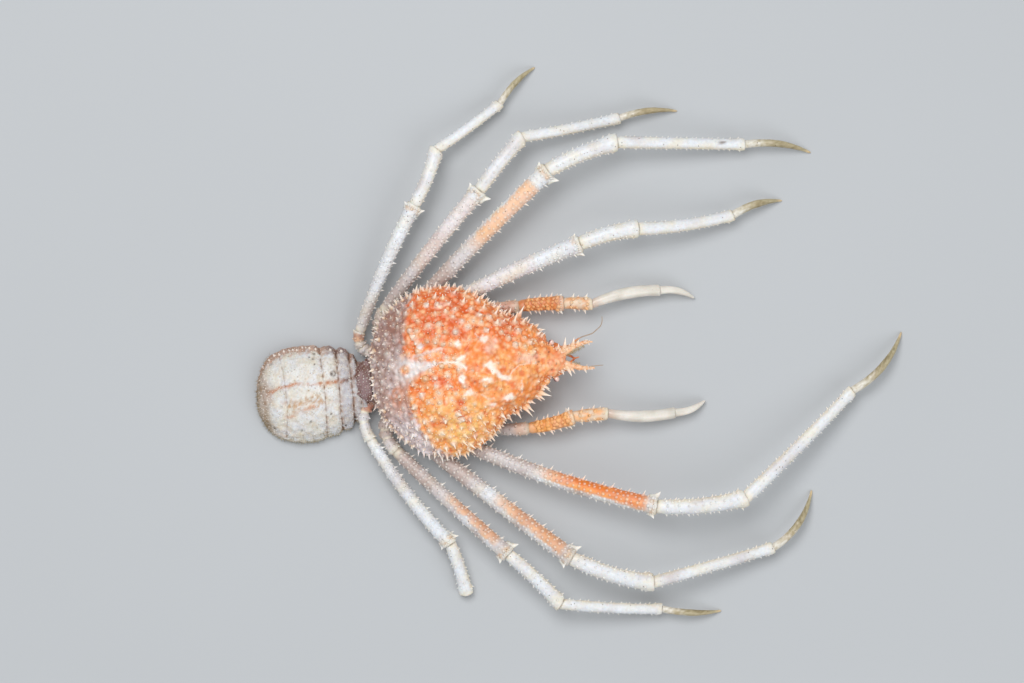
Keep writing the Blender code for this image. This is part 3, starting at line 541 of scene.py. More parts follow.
# Marks of the back, in millimetres on the plan
shellMarks = {
    "funnel": ((-15.4, 0.9), (-13.0, 1.2), (-10.0, 1.6), (-5.7, 2.0)),
    "funnelTail": ((-5.7, 2.0), (-1.0, 2.1), (1.1, 2.2)),
    "forkLeft": ((1.1, 2.2), (3.4, 3.6)),
    "forkRight": ((1.1, 2.2), (3.9, -0.5)),
    "arc": ((18.5, -5.3), (19.8, -3.0), (22.3, -1.2), (25.4, -0.8), (28.5, -1.1)),
    "sideBranch": ((-13.5, 5.2), (-8.0, 6.4), (-4.0, 6.9)),
    # White lines of the names above and below: half width, strength
    "lines": (("funnelTail", 0.55, 1.0), ("forkLeft", 0.8, 1.0), ("forkRight", 0.7, 1.0), ("band", 0.75, 0.9),
              ("arc", 0.2, 0.5), ("sideBranch", 0.6, 0.7)),
    # White patches: x, y, half length, half width
    "patches": ((10.9, 8.9, 1.7, 1.1), (2.1, 8.2, 1.2, 1.4), (12.1, 0.0, 2.0, 1.1), (10.9, -5.2, 1.9, 0.9),
                (2.5, -4.0, 1.1, 1.9), (4.5, -9.1, 1.4, 1.0), (18.1, -11.8, 1.8, 1.0),
                (16.7, -12.7, 0.8, 0.9), (12.0, -14.1, 1.0, 0.7), (-11.1, 8.5, 1.3, 0.8)),
    # Paler stains of the same kind
    "stains": ((13.5, 6.2, 2.0, 2.2), (14.8, 7.8, 1.2, 1.0), (17.0, 14.4, 1.0, 1.5), (-2.4, 22.1, 1.4, 1.2),
               (25.6, 1.0, 3.8, 1.7)),
    "band": ((12.8, -1.0), (13.7, -1.9), (16.1, -4.4), (18.3, -5.5)),
    "island": (-17.4, 0.9, 1.9, 1.8),
    "strokes": (((8.2, 11.2), (9.4, 9.6), (10.4, 8.9)), ((8.4, -9.9), (10.9, -12.0), (12.7, -11.7)),
                ((22.7, -6.4), (22.9, -8.2), (22.4, -10.8)), ((8.3, 16.5), (11.2, 19.4))),
    # Deep orange hollows
    "deep": ((20.3, 10.9, 2.6, 3.2), (20.4, 16.3, 2.2, 1.6), (5.1, 20.4, 2.2, 2.4), (7.0, -0.8, 2.0, 1.4),
             (5.2, -5.6, 2.2, 1.6), (-4.5, -4.2, 2.6, 1.4), (1.0, -12.4, 2.0, 2.0), (1.4, -17.3, 2.2, 1.6),
             (-6.3, -18.8, 2.4, 1.8), (4.6, 11.1, 1.6, 2.0), (-3.9, 11.4, 2.6, 1.6), (-7.7, 14.0, 2.4, 2.4),
             (-7.2, -4.4, 1.6, 1.4), (7.0, -6.0, 1.6, 1.4)),
    "pits": ((29.3, -0.7, 0.45), (12.1, 16.9, 0.4), (9.1, 13.3, 0.45), (-2.4, 14.9, 0.35), (-2.8, 8.9, 0.4),
             (6.6, -5.7, 0.35), (28.7, 0.7, 0.25), (-7.8, 12.7, 0.35), (35.3, -1.9, 0.3), (33.1, 2.3, 0.35),
             (33.6, -3.9, 0.3)),
    # Smooth places: x, y, half length, half width, steepness of the edge
    "calm": ((14.2, -4.6, 12.0, 11.5, 5), (22.5, -8.5, 6.5, 7.0, 4), (9.0, 4.5, 7.0, 6.5, 4),
             (33.5, -0.5, 6.5, 4.2, 4)),
    # Lighter orange: x, y, half length, half width, strength
    "light": ((-2, -19, 14, 10, 1.0), (15, -5, 10, 9, 0.5), (27, -1, 8, 7, 0.6), (35, -0.5, 5, 6, 0.4)),
}


def calmOf(points):
    # 1 over the smooth middle of the back and the top of the beak
    return np.clip(sum(spot(points, *place) for place in shellMarks["calm"]), 0, 1)


def rearEdge(y):
    # x of the border between the grey rear band and the orange
    return -17.0 + np.where(y > 0, 6.0 * (np.abs(y) / 29) ** 3, 13.0 * (np.abs(y) / 31) ** 3.2)


def whiteOf(points):
    # 1 on the white marks of the back
    wobble = 0.3 * ripple(points, 2.6, 4)[:, None] + 0.15 * ripple(points, 1.2, 15)[:, None]
    funnelWide = between(5.4, 0.5, ease((points[:, 0] + 19) / 14))
    white = ease(1.4 - offLine(points + wobble, shellMarks["funnel"]) / funnelWide)
    for name, wide, strength in shellMarks["lines"]:
        line = offLine(points + wobble * min(wide, 1), shellMarks[name])
        white = np.maximum(white, strength * ease(1.35 - 0.8 * line / wide))
    for patch in shellMarks["patches"]:
        white = np.maximum(white, np.clip(1.2 * spot(points + 1.3 * wobble, *patch, 3), 0, 1))
    for stain in shellMarks["stains"]:
        white = np.maximum(white, 0.5 * spot(points + wobble, *stain, 3))
    for path in shellMarks["strokes"]:
        white = np.maximum(white, 0.5 * ease(1.5 - offLine(points, path) / 0.25))
    return white * (1 - spot(points, *shellMarks["island"], 4))


def rearInk(points, clouds, flecks, fine):
    # The rear band, lilac, with brown to the left and the palest part to the right
    grey = brush(inks["lilac"], "lilacPale", 0.3 + 0.4 * clouds + 0.35 * flecks + 0.15 * fine)
    grey = brush(grey, "rearBrown", 0.95 * spot(points, -18, 17, 10, 10) * np.clip(0.8 + 0.3 * flecks, 0, 1))
    grey = brush(grey, "rearTan", 0.8 * spot(points, -20, -9, 5, 6) * (0.8 + 0.5 * flecks), 0.85)
    return brush(grey, "rearPale", spot(points, -16, -25, 10, 9, 3) * (0.9 + 0.4 * flecks), 0.95)


def shellInk(points):
    # The colour of the back at each point
    x, y = points[:, 0], points[:, 1]
    clouds = ripple(points, 9.0, 3)
    flecks = ripple(points, 2.6, 4)
    fine = ripple(points, 1.3, 7)
    tint = np.broadcast_to(inks["orange"], (len(points), 4))
    deep = ease((y - 3) / 12) * ease((12 - x) / 10) * 0.8 + spot(points, 19, 13, 7) * 0.8
    tint = brush(tint, "deepOrange", np.clip(deep + 0.2 * clouds, 0, 1) * 0.9)
    light = sum(strength * spot(points, *place) for *place, strength in shellMarks["light"])
    light += 0.4 * np.clip(ripple(points, 5.5, 8), -1, 1)
    tint = brush(tint, "paleOrange", light + 0.2 * flecks * (light > 0.1))
    tint = brush(tint, "amber", spot(points, -0.5, -20, 11, 8.5) * (0.9 + 0.3 * flecks))
    for hollow in shellMarks["deep"]:
        tint = brush(tint, "deepOrange", 0.8 * spot(points, *hollow) * (1 + 0.4 * flecks))
    tint = brush(tint, "deepOrange", 0.7 * np.clip(ripple(points, 3.8, 5) - 0.35, 0, 1))
    tint = brush(tint, "peach", 0.75 * np.clip(ripple(points, 3.2, 6) - 0.3, 0, 1))
    tint = brush(tint, "scarlet", 0.5 * np.clip(fine + 0.5 * flecks - 0.5, 0, 1))
    tint = brush(tint, "beakPeach", spot(points, 36, -1, 4.5, 5) * (0.7 + 0.5 * flecks), 0.85)
    tint = brush(tint, "beakRed", spot(points, 34, -0.5, 5, 5) * (1.2 * ripple(points, 2.0, 14) - 0.2), 0.8)
    band = ease((rearEdge(y) + 0.8 * flecks - x) / 2.6 + 0.5) * (1 - spot(points, *shellMarks["island"], 4))
    tint = mixInk(tint, rearInk(points, clouds, flecks, fine), band)
    pale = brush(inks["white"], "funnel", ease((-3 - x) / 4))
    tint = mixInk(tint, pale, np.clip(whiteOf(points) * (0.95 + 0.1 * flecks), 0, 1))
    for x0, y0, wide in shellMarks["pits"]:
        tint = darken(tint, 0.35, 0.8 * spot(points, x0, y0, wide, None, 4))
    low = ease((shell["rim"] - 0.5 - points[:, 2]) / 2)
    return mixInk(tint, brush(inks["rose"], "paleOrange", ease((x - 5) / 20)), low * 0.8)


# Beak between the eyes: x, middle, half width, half height, height of its middle
beak = ((27.5, 0.0, 8.0, 5.6, 16.9), (30.5, -0.1, 7.1, 5.0, 17.1), (32.4, -0.5, 6.1, 4.1, 17.1),
        (34.2, -0.9, 5.0, 3.2, 17.2), (36.0, -0.9, 4.2, 2.5, 17.3), (37.6, -0.8, 3.6, 2.0, 17.3),
        (38.7, -0.7, 3.0, 1.4, 17.3), (39.1, -0.5, 2.0, 0.8, 17.2))


def backRelief(points):
    # How far each point of the back is pushed out
    calm = calmOf(points)
    push = 0.26 * ripple(points, 4.5, 11) + (0.2 - 0.12 * calm) * ripple(points, 2.0, 12)
    push += calm * 0.42 * ripple(points, 7.5, 13)
    funnelWide = between(4.0, 0.9, ease((points[:, 0] + 19) / 14))
    push -= shell["funnelDepth"] * np.exp(-(offLine(points, shellMarks["funnel"]) / funnelWide) ** 2)
    for name in ("funnelTail", "forkLeft", "forkRight", "arc"):
        push -= shell["lineDepth"] * np.exp(-(offLine(points, shellMarks[name]) / 0.6) ** 2)
    for x0, y0, wide, broad in shellMarks["patches"]:
        push += shell["patchHeight"] * spot(points, x0, y0, wide * 1.3, broad * 1.3)
    for hollow in shellMarks["deep"]:
        push -= shell["hollowDepth"] * spot(points, *hollow)
    for x0, y0, wide in shellMarks["pits"]:
        push -= shell["pitDepth"] * spot(points, x0, y0, wide * 1.2)
    for side in (-1, 1):
        crease = [(x, side * y) for x, y in shell["crease"]]
        push -= shell["creaseDepth"] * np.exp(-(offLine(points, crease) / 1.2) ** 2)
    return push


def makeShellBody():
    shares = np.linspace(0, 1, shell["rings"])
    stations = [between(shell["rear"], shell["front"] + 0.6, share) for share in shares]

    def place(ring, across, up):
        x = min(stations[ring], shell["front"])
        return shellPoint(x, across, up > -0.001) + Vector((max(stations[ring] - shell["front"], 0), 0, 0))

    def placeBeak(ring, across, up):
        x, y, wide, high, z = beak[ring]
        return Vector((x, y + wide * across, z + high * up))

    parts = [sleeve(len(stations), shell["sides"], place), sleeve(len(beak), 24, placeBeak)]
    for side in (-1, 1):
        for x, y, shift, z, *sizes in shell["lumps"]:
            parts.append(ball(x, side * y + shift, z, *sizes))
    body = meltTogether(parts, shell["voxel"], shell["smoothing"])
    refreshNormals(body)
    points = body["points"]
    top = ease((points[:, 2] - shell["rim"] + 1.0) / 2.5)
    body["points"] = points + body["normals"] * (backRelief(points) * top)[:, None]
    refreshNormals(body)
    return body


# Spines of the margins
margin = {
    # Rows of both sides: height over the rim, spacing, length, root radius
    "rows": ((-1.8, 3.4, 1.2, 0.5), (-0.3, 3.1, 2.0, 0.7), (1.1, 3.2, 1.8, 0.64)),
    "rightLength": 0.82,
    "rightSpacing": 1.25,
    "rowsEnd": 30.0,
    # Long spines at the front, as seen from above: foot x and y, tip x and y, root radius
    "front": ((24.0, 16.0, 26.0, 19.3, 0.85), (25.8, 13.8, 27.4, 15.4, 0.75), (28.7, 10.2, 32.7, 10.4, 1.05),
              (28.2, 10.9, 30.5, 11.8, 0.8), (29.8, 8.3, 31.8, 8.7, 0.85), (30.6, 6.2, 31.9, 6.7, 0.6),
              (31.9, 4.8, 32.6, 5.9, 0.5), (34.3, 4.0, 34.8, 5.0, 0.45), (29.6, -9.0, 32.4, -10.4, 1.15),
              (29.0, -11.6, 32.5, -13.2, 1.0), (28.2, -12.6, 30.3, -14.1, 0.8),
              (31.0, -6.8, 33.0, -7.9, 0.8), (32.6, -5.6, 33.2, -6.6, 0.5), (25.0, -14.0, 26.8, -15.3, 0.75),
              (23.9, -15.6, 26.0, -18.2, 0.85), (23.0, -16.3, 25.6, -19.6, 0.75),
              (20.2, -17.5, 21.6, -19.9, 0.75), (20.6, 17.0, 21.6, 19.0, 0.75),
              (16.0, 18.0, 16.7, 20.2, 0.75), (14.2, 19.0, 15.2, 20.8, 0.65)),
    "frontZ": 15.9,
    # Large cones along the rear edge: x, y, root radius, length
    "rear": ((-27.6, 8.0, 0.95, 1.7), (-28.9, 4.6, 0.6, 1.2), (-28.2, 1.7, 1.0, 1.9),
             (-28.4, -3.3, 0.9, 1.6), (-28.6, -7.0, 0.7, 1.3), (-28.3, 9.4, 0.6, 1.1),
             (-27.6, -9.2, 0.6, 1.1), (-28.8, -0.8, 0.45, 0.9), (-28.8, -5.4, 0.45, 0.8),
             (-28.6, 6.3, 0.5, 0.9), (-26.0, -12.6, 0.8, 1.5), (-25.6, 12.0, 0.8, 1.5)),
}


def marginSpines():
    # Spines of both margins in three levels, the long ones at the front and the row along the rear edge
    draw = np.random.default_rng(21)
    spines = []  # foot, aim, length, width
    for side in (-1, 1):
        for level, (lift, spacing, long, wide) in enumerate(margin["rows"]):
            x = shell["rear"] + 1.4 + 1.0 * level
            long = long * (margin["rightLength"] if side < 0 else 1.0)
            spacing = spacing * (margin["rightSpacing"] if side < 0 else 1.0)
            while x < margin["rowsEnd"]:
                slope = float(shellHalfWidth(x + 0.4) - shellHalfWidth(x - 0.4)) / 0.8
                out = Vector((-slope, side, 0)).normalized()
                fore = ease((x - 14) / 10)
                inner = 0.995 - 0.02 * max(lift, 0)
                foot = np.array(shellPoint(x, side * inner, True)) + (0, 0, min(lift, 0.3))
                rearward = ease((-6 - x) / 8) * (0.35 if side < 0 else 0.1)
                length = long * draw.uniform(0.7, 1.2) * between(1.0, 0.8, fore) * (1 - rearward)
                aim = (out.x + 0.06 + 0.3 * fore, out.y, draw.uniform(0.0, 0.25) + 0.3 * max(lift, 0))
                spines.append((foot, aim, length, wide * draw.uniform(0.9, 1.15)))
                x += spacing * draw.uniform(0.75, 1.25) / math.hypot(1, 1.5 * slope)
    for footX, footY, tipX, tipY, radius in margin["front"]:
        aim = (tipX - footX, tipY - footY, 0.5)
        spines.append(((footX, footY, margin["frontZ"]), aim, math.hypot(*aim[:2]), radius))
    for x, y, radius, length in margin["rear"]:
        foot = shellPoint(x, y / float(shellHalfWidth(x)), True)
        spines.append((foot, (-1, draw.uniform(-0.3, 0.3), 0.55), length, radius))
    return [np.array(values, float) for values in zip(*spines)]


def nearest(points, feet):
    # Distance from each point to the nearest foot, and which foot that is
    tree = KDTree(len(feet))
    for index, foot in enumerate(feet):
        tree.insert(foot, index)
    tree.balance()
    found = [tree.find(point)[1:] for point in points]
    return np.array([far for _, far in found]), np.array([index for index, _ in found])


def spreadBumps(points, normals, calm, white, rear):
    # Where bumps may stand, then the places of the tubercles and of the soft bumps
    upper = (normals[:, 2] > 0.05) & (points[:, 2] > shell["rim"] - 1.2)
    where = np.flatnonzero(upper & (white < 0.3))
    gaps = (2.95 + 5.0 * calm - 0.2 * rear) * (1 + 0.2 * ripple(points, 5.0, 30))
    behind = where[points[where, 0] < 31]
    big = behind[scatter(points[behind], gaps[behind], 31)]
    gaps = 1.75 - 0.5 * spot(points, 34, -0.7, 5, 4.5) + 0.35 * ripple(points, 4.0, 29)
    soft = where[scatter(points[where], gaps[where], 28, points[big])]
    return where, big, soft


def paintBumps(body, roots, radii, heights, bright, strong, white, calm, rear):
    # Raises a bump at each root, colours its top, and deepens the hollows between
    far, index = nearest(body["points"], roots)
    bump = np.exp(-(far / radii[index]) ** 2)
    body["points"] = body["points"] + body["normals"] * (heights[index] * bump)[:, None]
    refreshNormals(body)
    points = body["points"]
    tops = mixInk(mixInk(inks["peach"], inks["lilacPale"], rear), inks["white"], bright[index])
    tint = mixInk(shellInk(points), tops, strong[index] * bump * (1 - white))
    hollow = ease((far / radii[index] - 1.0) / 0.9) * (1 - white) * (1 - 0.7 * calm)
    deep = mixInk(inks["deepOrange"], inks["rearHollow"], rear)
    body["tint"] = mixInk(tint, deep, hollow * (0.34 - 0.2 * spot(points, -0.5, -20, 11, 9) - 0.14 * rear))


# Tubercles of the top and spines nearer the margin: whether they stand near it, then width, paleness
# of the tip, how soon it pales, and how deep the foot stands
backKinds = {"tubercle": (False, 0.62, 0.45, 1.2, 0.3), "spine": (True, 0.66, 0.7, 0.8, 0.15)}


def backForms(body):
    # Raises and colours the bumps of the back, and gives its tubercles, spines and granules
    points, normals = body["points"], body["normals"]
    x, y = points[:, 0], points[:, 1]
    half = shellHalfWidth(np.minimum(x, shell["front"]))
    share = np.clip(np.abs(y - shell["lean"] * (points[:, 2] - shell["rim"])) / np.maximum(half, 1), 0, 1.2)
    calm = calmOf(points)
    white = whiteOf(points)
    rear = ease((rearEdge(y) - x) / 3 + 0.5)
    where, big, soft = spreadBumps(points, normals, calm, white, rear)
    draw = np.random.default_rng(32)
    soft = soft[(calm[soft] > 0.25) | (draw.uniform(0, 1, len(soft)) < 0.5)]
    edge = ease((share[big] - 0.5) / 0.5)
    size = draw.uniform(0.6, 1.25, len(big)) * (1 - 0.4 * calm[big]) * (1 - 0.12 * rear[big])
    softSize = draw.uniform(0.55, 1.15, len(soft))
    width = between(1.08, 0.84, edge) * (0.3 + 0.7 * size)
    length = between(0.9, 2.1, edge) * size
    feet, aims, lengths, widths = marginSpines()
    roots = np.concatenate([points[big], points[soft], feet])
    radii = np.concatenate([1.4 * width, 0.75 * softSize, widths])
    heights = np.concatenate([0.6 * width, 0.38 * softSize, 0.3 * widths])
    bright = draw.uniform(0.1, 0.9, len(big)) * (1 - 0.6 * calm[big])
    pale = bright
    bright = np.concatenate([bright, draw.uniform(0.0, 0.4, len(soft)), np.full(len(feet), 0.3)])
    strong = draw.uniform(0.45, 0.8, len(big)) * (1 - 0.35 * rear[big])
    strong = np.concatenate([strong, draw.uniform(0.2, 0.65, len(soft)), np.full(len(feet), 0.6)])
    paintBumps(body, roots, radii, heights, bright, strong, white, calm, rear)
    points, normals = body["points"], body["normals"]
    lean = np.stack([0.12 + 0.3 * edge, 0.6 * edge * np.sign(points[big, 1]), np.full(len(big), 0.15)], 1)
    forms = []
    for form, (outer, wide, base, fade, sink) in backKinds.items():
        chosen = (edge > 0.3) == outer
        tip = brush(body["tint"][big], "white", base + 0.45 * pale - 0.15 * rear[big])
        forms.append(grow(form, (points[big] - sink * normals[big])[chosen], (normals[big] + lean)[chosen],
                          length[chosen] + sink, wide * width[chosen], body["tint"][big][chosen],
                          tip[chosen], 33, 0.1, fade))
    small = where[scatter(points[where], (1.2 + 0.9 * calm)[where], 34, roots)]
    small = small[draw.uniform(0, 1, len(small)) < 0.75 - 0.45 * calm[small]]
    count = len(small)
    ground = body["tint"][small]
    size = draw.uniform(0.5, 1.0, count) ** 1.5
    pale = draw.uniform(0.1, 0.75, count) * (1 - 0.6 * calm[small])
    tip = brush(brush(ground, "peach", 0.6), "white", pale)
    forms.append(grow("granule", points[small], normals[small] + (0.1, 0, 0), 0.6 * size, 0.45 * size,
                      ground, tip, 35))
    ground = brush(shellInk(feet), "peach", 0.55)
    forms.append(grow("spine", feet, aims, lengths, widths, ground, inks["white"], 36, 0.08, 0.55))
    print("back:", len(big), "tubercles,", len(soft), "soft bumps,", count, "granules,", len(feet), "spines")
    return forms


# Horns of the beak: path, radius at each of its points, then spines as foot and tip on the plan
horns = {
    1: {
        "path": ((35.8, 1.0, 17.2), (38.0, 1.8, 17.5), (40.2, 2.7, 18.0), (42.3, 3.5, 18.4),
                 (44.7, 4.2, 18.8), (46.5, 4.6, 19.0), (48.5, 4.4, 19.1)),
        "radii": (1.9, 1.5, 1.15, 0.85, 0.72, 0.62, 0.2),
        "spines": ((36.6, 3.4, 36.8, 4.9, 0.5), (38.7, 3.0, 39.3, 6.9, 0.75), (41.7, 4.0, 42.3, 6.6, 0.62),
                   (43.4, 4.4, 43.9, 5.6, 0.5), (46.3, 4.5, 46.4, 5.5, 0.5), (47.0, 4.3, 47.4, 3.4, 0.4),
                   (40.4, 3.6, 40.7, 4.6, 0.4), (45.2, 4.6, 45.5, 5.3, 0.3)),
        "hairs": (0.25, 0.72), "hairCount": 90, "hairScale": 1.0,
    },
    -1: {
        "path": ((36.2, -1.8, 17.2), (38.4, -2.5, 17.5), (40.4, -3.1, 18.0), (42.2, -3.7, 18.4),
                 (43.9, -4.2, 18.7), (46.0, -4.5, 18.9), (48.3, -4.7, 19.1)),
        "radii": (1.9, 1.5, 1.15, 0.9, 0.8, 0.62, 0.2),
        "spines": ((36.9, -3.6, 37.4, -6.1, 0.72), (39.2, -3.8, 40.3, -6.8, 0.8),
                   (40.6, -4.4, 41.5, -6.1, 0.42), (44.9, -4.5, 45.3, -6.2, 0.62),
                   (45.8, -4.1, 45.9, -3.1, 0.24), (42.6, -4.4, 43.2, -5.2, 0.3),
                   (43.3, -3.8, 43.4, -3.0, 0.24), (47.2, -4.8, 47.7, -5.3, 0.3)),
        "hairs": (0.38, 0.62), "hairCount": 26, "hairScale": 0.7,
    },
}
hornRings = 34
hornSpines = 26  # small spines over the top of each horn


def curveThrough(points, count):
    points = np.array(points, float)
    padded = np.concatenate([[points[0] * 2 - points[1]], points, [points[-1] * 2 - points[-2]]])
    places = np.linspace(0, len(points) - 1, count)
    index = np.minimum(places.astype(int), len(points) - 2)
    share = (places - index)[:, None]
    before, start, end, after = (padded[index + step] for step in range(4))
    return 0.5 * (2 * start + (end - before) * share + (2 * before - 5 * start + 4 * end - after) * share ** 2
                  + (3 * start - before - 3 * end + after) * share ** 3)


def pipe(path, radii, sides=12, flatness=1.0):
    # A tube through the points of a path
    along = unit(np.gradient(path, axis=0))
    left = unit(np.stack([-along[:, 1], along[:, 0], 0 * along[:, 0]], 1))
    up = np.cross(along, left)

    def place(ring, across, high):
        return Vector(path[ring] + (left[ring] * across + up[ring] * high * flatness) * radii[ring])

    skin = sleeve(len(path), sides, place)
    skin["share"] = skin["ring"] / (len(path) - 1)
    return skin


def hornForms(side):
    plan = horns[side]
    path = curveThrough(plan["path"], hornRings)
    shares = np.linspace(0, 1, hornRings)
    radii = np.interp(shares, np.linspace(0, 1, len(plan["radii"])), plan["radii"])
    body = pipe(path, radii, 16, 0.85)
    body["points"] += body["normals"] * (0.1 * ripple(body["points"], 1.5, 45))[:, None]
    tint = brush(inks["hornDark"], "hornPale", 0.5 + 0.4 * ripple(body["points"], 2.4, 41))
    body["tint"] = brush(tint, "clawOrange", 0.7 * ripple(body["points"], 1.6, 44) - 0.2, 0.6)
    draw = np.random.default_rng(42 + side)
    spines = []  # foot, aim, length, width
    for footX, footY, tipX, tipY, radius in plan["spines"]:
        foot = (footX, footY, np.interp(footX, path[:, 0], path[:, 2]))
        aim = (tipX - footX, tipY - footY, draw.uniform(0.0, 0.5))
        spines.append((foot, aim, math.hypot(*aim[:2]) + 0.1, 1.35 * radius))
    for _ in range(hornSpines):
        place = draw.integers(4, hornRings - 2)
        angle = draw.uniform(0.2, 2.9)
        aim = np.array((0.5, side * math.cos(angle), math.sin(angle)))
        foot = path[place] + unit(aim * (0, 1, 1)) * radii[place] * 0.8
        spines.append((foot, aim, draw.uniform(0.25, 0.6), min(0.26, radii[place] * 0.5)))
    rows = np.linspace(*plan["hairs"], plan["hairCount"])
    places = np.interp(rows, shares, np.arange(hornRings)).astype(int)
    inner = np.array((0.25, -side, 0.0)) + draw.uniform(-0.25, 0.25, (len(rows), 3))
    roots = path[places] + unit(inner * (0, 1, 1)) * radii[places][:, None] * 0.85
    unwrap = np.stack([0.1 + 0.3 * rows, 0.3 + 0.1 * side + 0 * rows], 1)
    addSetae(roots, inner + (0.3, 0, 0.2), draw.uniform(0.7, 1.7, len(rows)) * plan["hairScale"], 0.13,
             inks["hairRoot"], inks["hairTip"], unwrap, 49)
    feet, aims, lengths, widths = (np.array(values, float) for values in zip(*spines))
    return [body, grow("spine", feet, aims, lengths, widths, inks["hornSpine"], inks["white"], 43, 0.08, 0.6)]


def beakForms():
    # Dense small spines on the beak and round the eyes
    draw = np.random.default_rng(46)
    rings = np.array(beak)
    feet, aims = [], []
    for side in (-1, 1):
        for x in np.arange(30.6, 38.0, 1.0):
            middle, half = (np.interp(x, rings[:, 0], rings[:, column]) for column in (1, 2))
            for high in (0.0, 0.55):
                feet.append((x + 0.5 * high, middle + side * half * (0.96 - 0.22 * high), 17.2 + 2.0 * high))
                aims.append((0.5, side, 0.2 + high))
    feet, aims = np.array(feet), np.array(aims) + draw.uniform(-0.25, 0.25, (len(feet), 3))
    ground = brush(shellInk(feet), "peach", 0.35)
    lengths = draw.uniform(0.6, 1.4, len(feet))
    widths = draw.uniform(0.32, 0.5, len(feet))
    return grow("spine", feet, aims, lengths, widths, ground, inks["white"], 47, 0.1, 0.6)


def makeShell():
    body = makeShellBody()
    forms = backForms(body)
    forms.append(beakForms())
    for side in (-1, 1):
        forms += hornForms(side)
    skin = joinSkins(body, *forms)
    print("shell:", int((skin["sizes"] - 2).sum()), "triangles")
    return makePiece("shell", skin, shellPaint, ("carapace", "rostrum"))


makeShell()

# Limbs: number of the pair, where the merus starts on the plan, then span and heading of each piece
# seen from above, the heights of the joints, and how far each piece bows outwards
limbs = {
    "claw_left": (1, (24.7, 19.3), (15.4, 9.8, 24.3, 12.6), (-2, -7, 6, -18),
                  (8.2, 9.0, 8.4, 4.6, 1.5), (0.3, 0.2, 1.3, 1.2)),
    "leg_left_2": (2, (-2.5, 21.6), (53.2, 20.6, 34.0, 18.3), (19, 9, 3, 11),
                   (7.8, 15.0, 13.5, 5.6, 0.25), (0.8, 0.8, -1.1, 1.4)),
    "leg_left_3": (3, (-10.8, 23.5), (65.1, 25.7, 45.2, 23.6), (40, 17, -6, -12),
                   (7.6, 15.0, 13.4, 5.6, 0.25), (0.7, 0.9, 0.0, 1.6)),
    "leg_left_4": (4, (-22.8, 22.2), (53.8, 23.7, 35.0, 20.5), (46, 46, 6, 2),
                   (7.2, 13.0, 11.2, 4.8, 0.25), (0.6, 0.4, -0.4, 1.2)),
    "leg_left_5": (5, (-31.9, 16.0), (48.1, 20.7, 27.7, 17.8), (61, 63, 31, 41),
                   (7.4, 10.8, 9.0, 4.4, 0.25), (1.0, -0.7, -0.4, 1.1)),
    "claw_right": (1, (24.1, -23.5), (15.9, 11.9, 23.5, 11.6), (9, 0, -5, 16),
                   (8.2, 9.0, 8.4, 4.6, 1.5), (0.5, 0.0, 1.2, 1.1)),
    "leg_right_2": (2, (-4.7, -23.5), (76.9, 31.0, 53.2, 27.1), (-24, 0, 39, 44),
                    (7.8, 16.5, 14.8, 6.2, 0.25), (2.3, 1.2, 0.4, 2.5)),
    "leg_right_3": (3, (-13.4, -25.5), (65.3, 29.5, 44.0, 24.2), (-43, -22, 10, 50),
                    (7.6, 15.0, 13.4, 5.6, 0.25), (0.3, 1.4, 0.2, 2.5)),
    "leg_right_4": (4, (-23.0, -27.4), (53.0, 24.9, 35.8, 21.0), (-48, -49, -9, -8),
                    (7.2, 13.0, 11.2, 4.8, 0.25), (0.3, -0.4, 0.5, 0.9)),
    "leg_right_5": (5, (-31.7, -22.7), (45.6, 18.4), (-58, -78), (7.4, 7.2, 2.3), (1.3, -0.4)),
}

# Widths at the start, middle and end of each piece, for each pair
limbWidths = {
    1: {"base": (5.0, 4.3, 4.1), "merus": (4.2, 4.6, 4.9), "carpus": (4.1, 4.5, 3.9),
        "palm": (3.3, 3.9, 3.8), "finger": (2.9, 2.4, 0.7)},
    2: {"base": (5.6, 5.0, 4.8), "merus": (4.9, 5.4, 5.8), "carpus": (5.1, 5.3, 5.8),
        "propodus": (4.6, 4.1, 3.8), "dactylus": (2.9, 2.6, 0.6)},
    3: {"base": (5.8, 5.2, 5.0), "merus": (5.1, 5.6, 6.0), "carpus": (5.2, 5.3, 5.9),
        "propodus": (4.3, 3.9, 3.8), "dactylus": (2.8, 2.4, 0.6)},
    4: {"base": (5.2, 4.6, 4.4), "merus": (4.4, 4.9, 5.5), "carpus": (4.5, 4.6, 5.1),
        "propodus": (3.9, 3.7, 3.6), "dactylus": (2.5, 2.2, 0.6)},
    5: {"base": (4.4, 3.9, 3.8), "merus": (3.8, 4.3, 5.0), "carpus": (4.3, 4.4, 4.7),
        "propodus": (3.6, 3.4, 3.4), "dactylus": (2.3, 2.1, 0.6)},
}

limbForm = {
    "arch": {"merus": 0.02, "carpus": 0.04, "propodus": 0.01, "dactylus": 0.1, "palm": 0.03, "finger": 0.06},
    "flatness": 0.92,
    "sides": 20,
    "step": 0.9,
    # Rings of the rounded root and of the cup at the end: millimetres from the end of the piece, radius
    "neck": ((-0.5, 0.4), (-0.45, 0.7), (-0.25, 0.88), (0.0, 0.93), (0.3, 0.96), (0.7, 1.0)),
    "cup": ((0.5, 1.02), (0.15, 0.98), (0.0, 0.93), (0.1, 0.84), (0.5, 0.7)),
    "tip": ((0.5, 0.85), (0.22, 0.6), (0.06, 0.3)),
    "fingerFlatness": 0.62,
    "fingerRings": 22,
    # Outline of the breastplate, front to rear; each edge but the last carries a limb
    "roots": ((5.0, 9.5), (-4.0, 13.5), (-12.2, 15.5), (-20.5, 15.2), (-27.0, 10.8), (-29.5, 4.6)),
    "rootHeights": {1: 6.9, 2: 6.7, 3: 6.6, 4: 6.2, 5: 5.6},
}

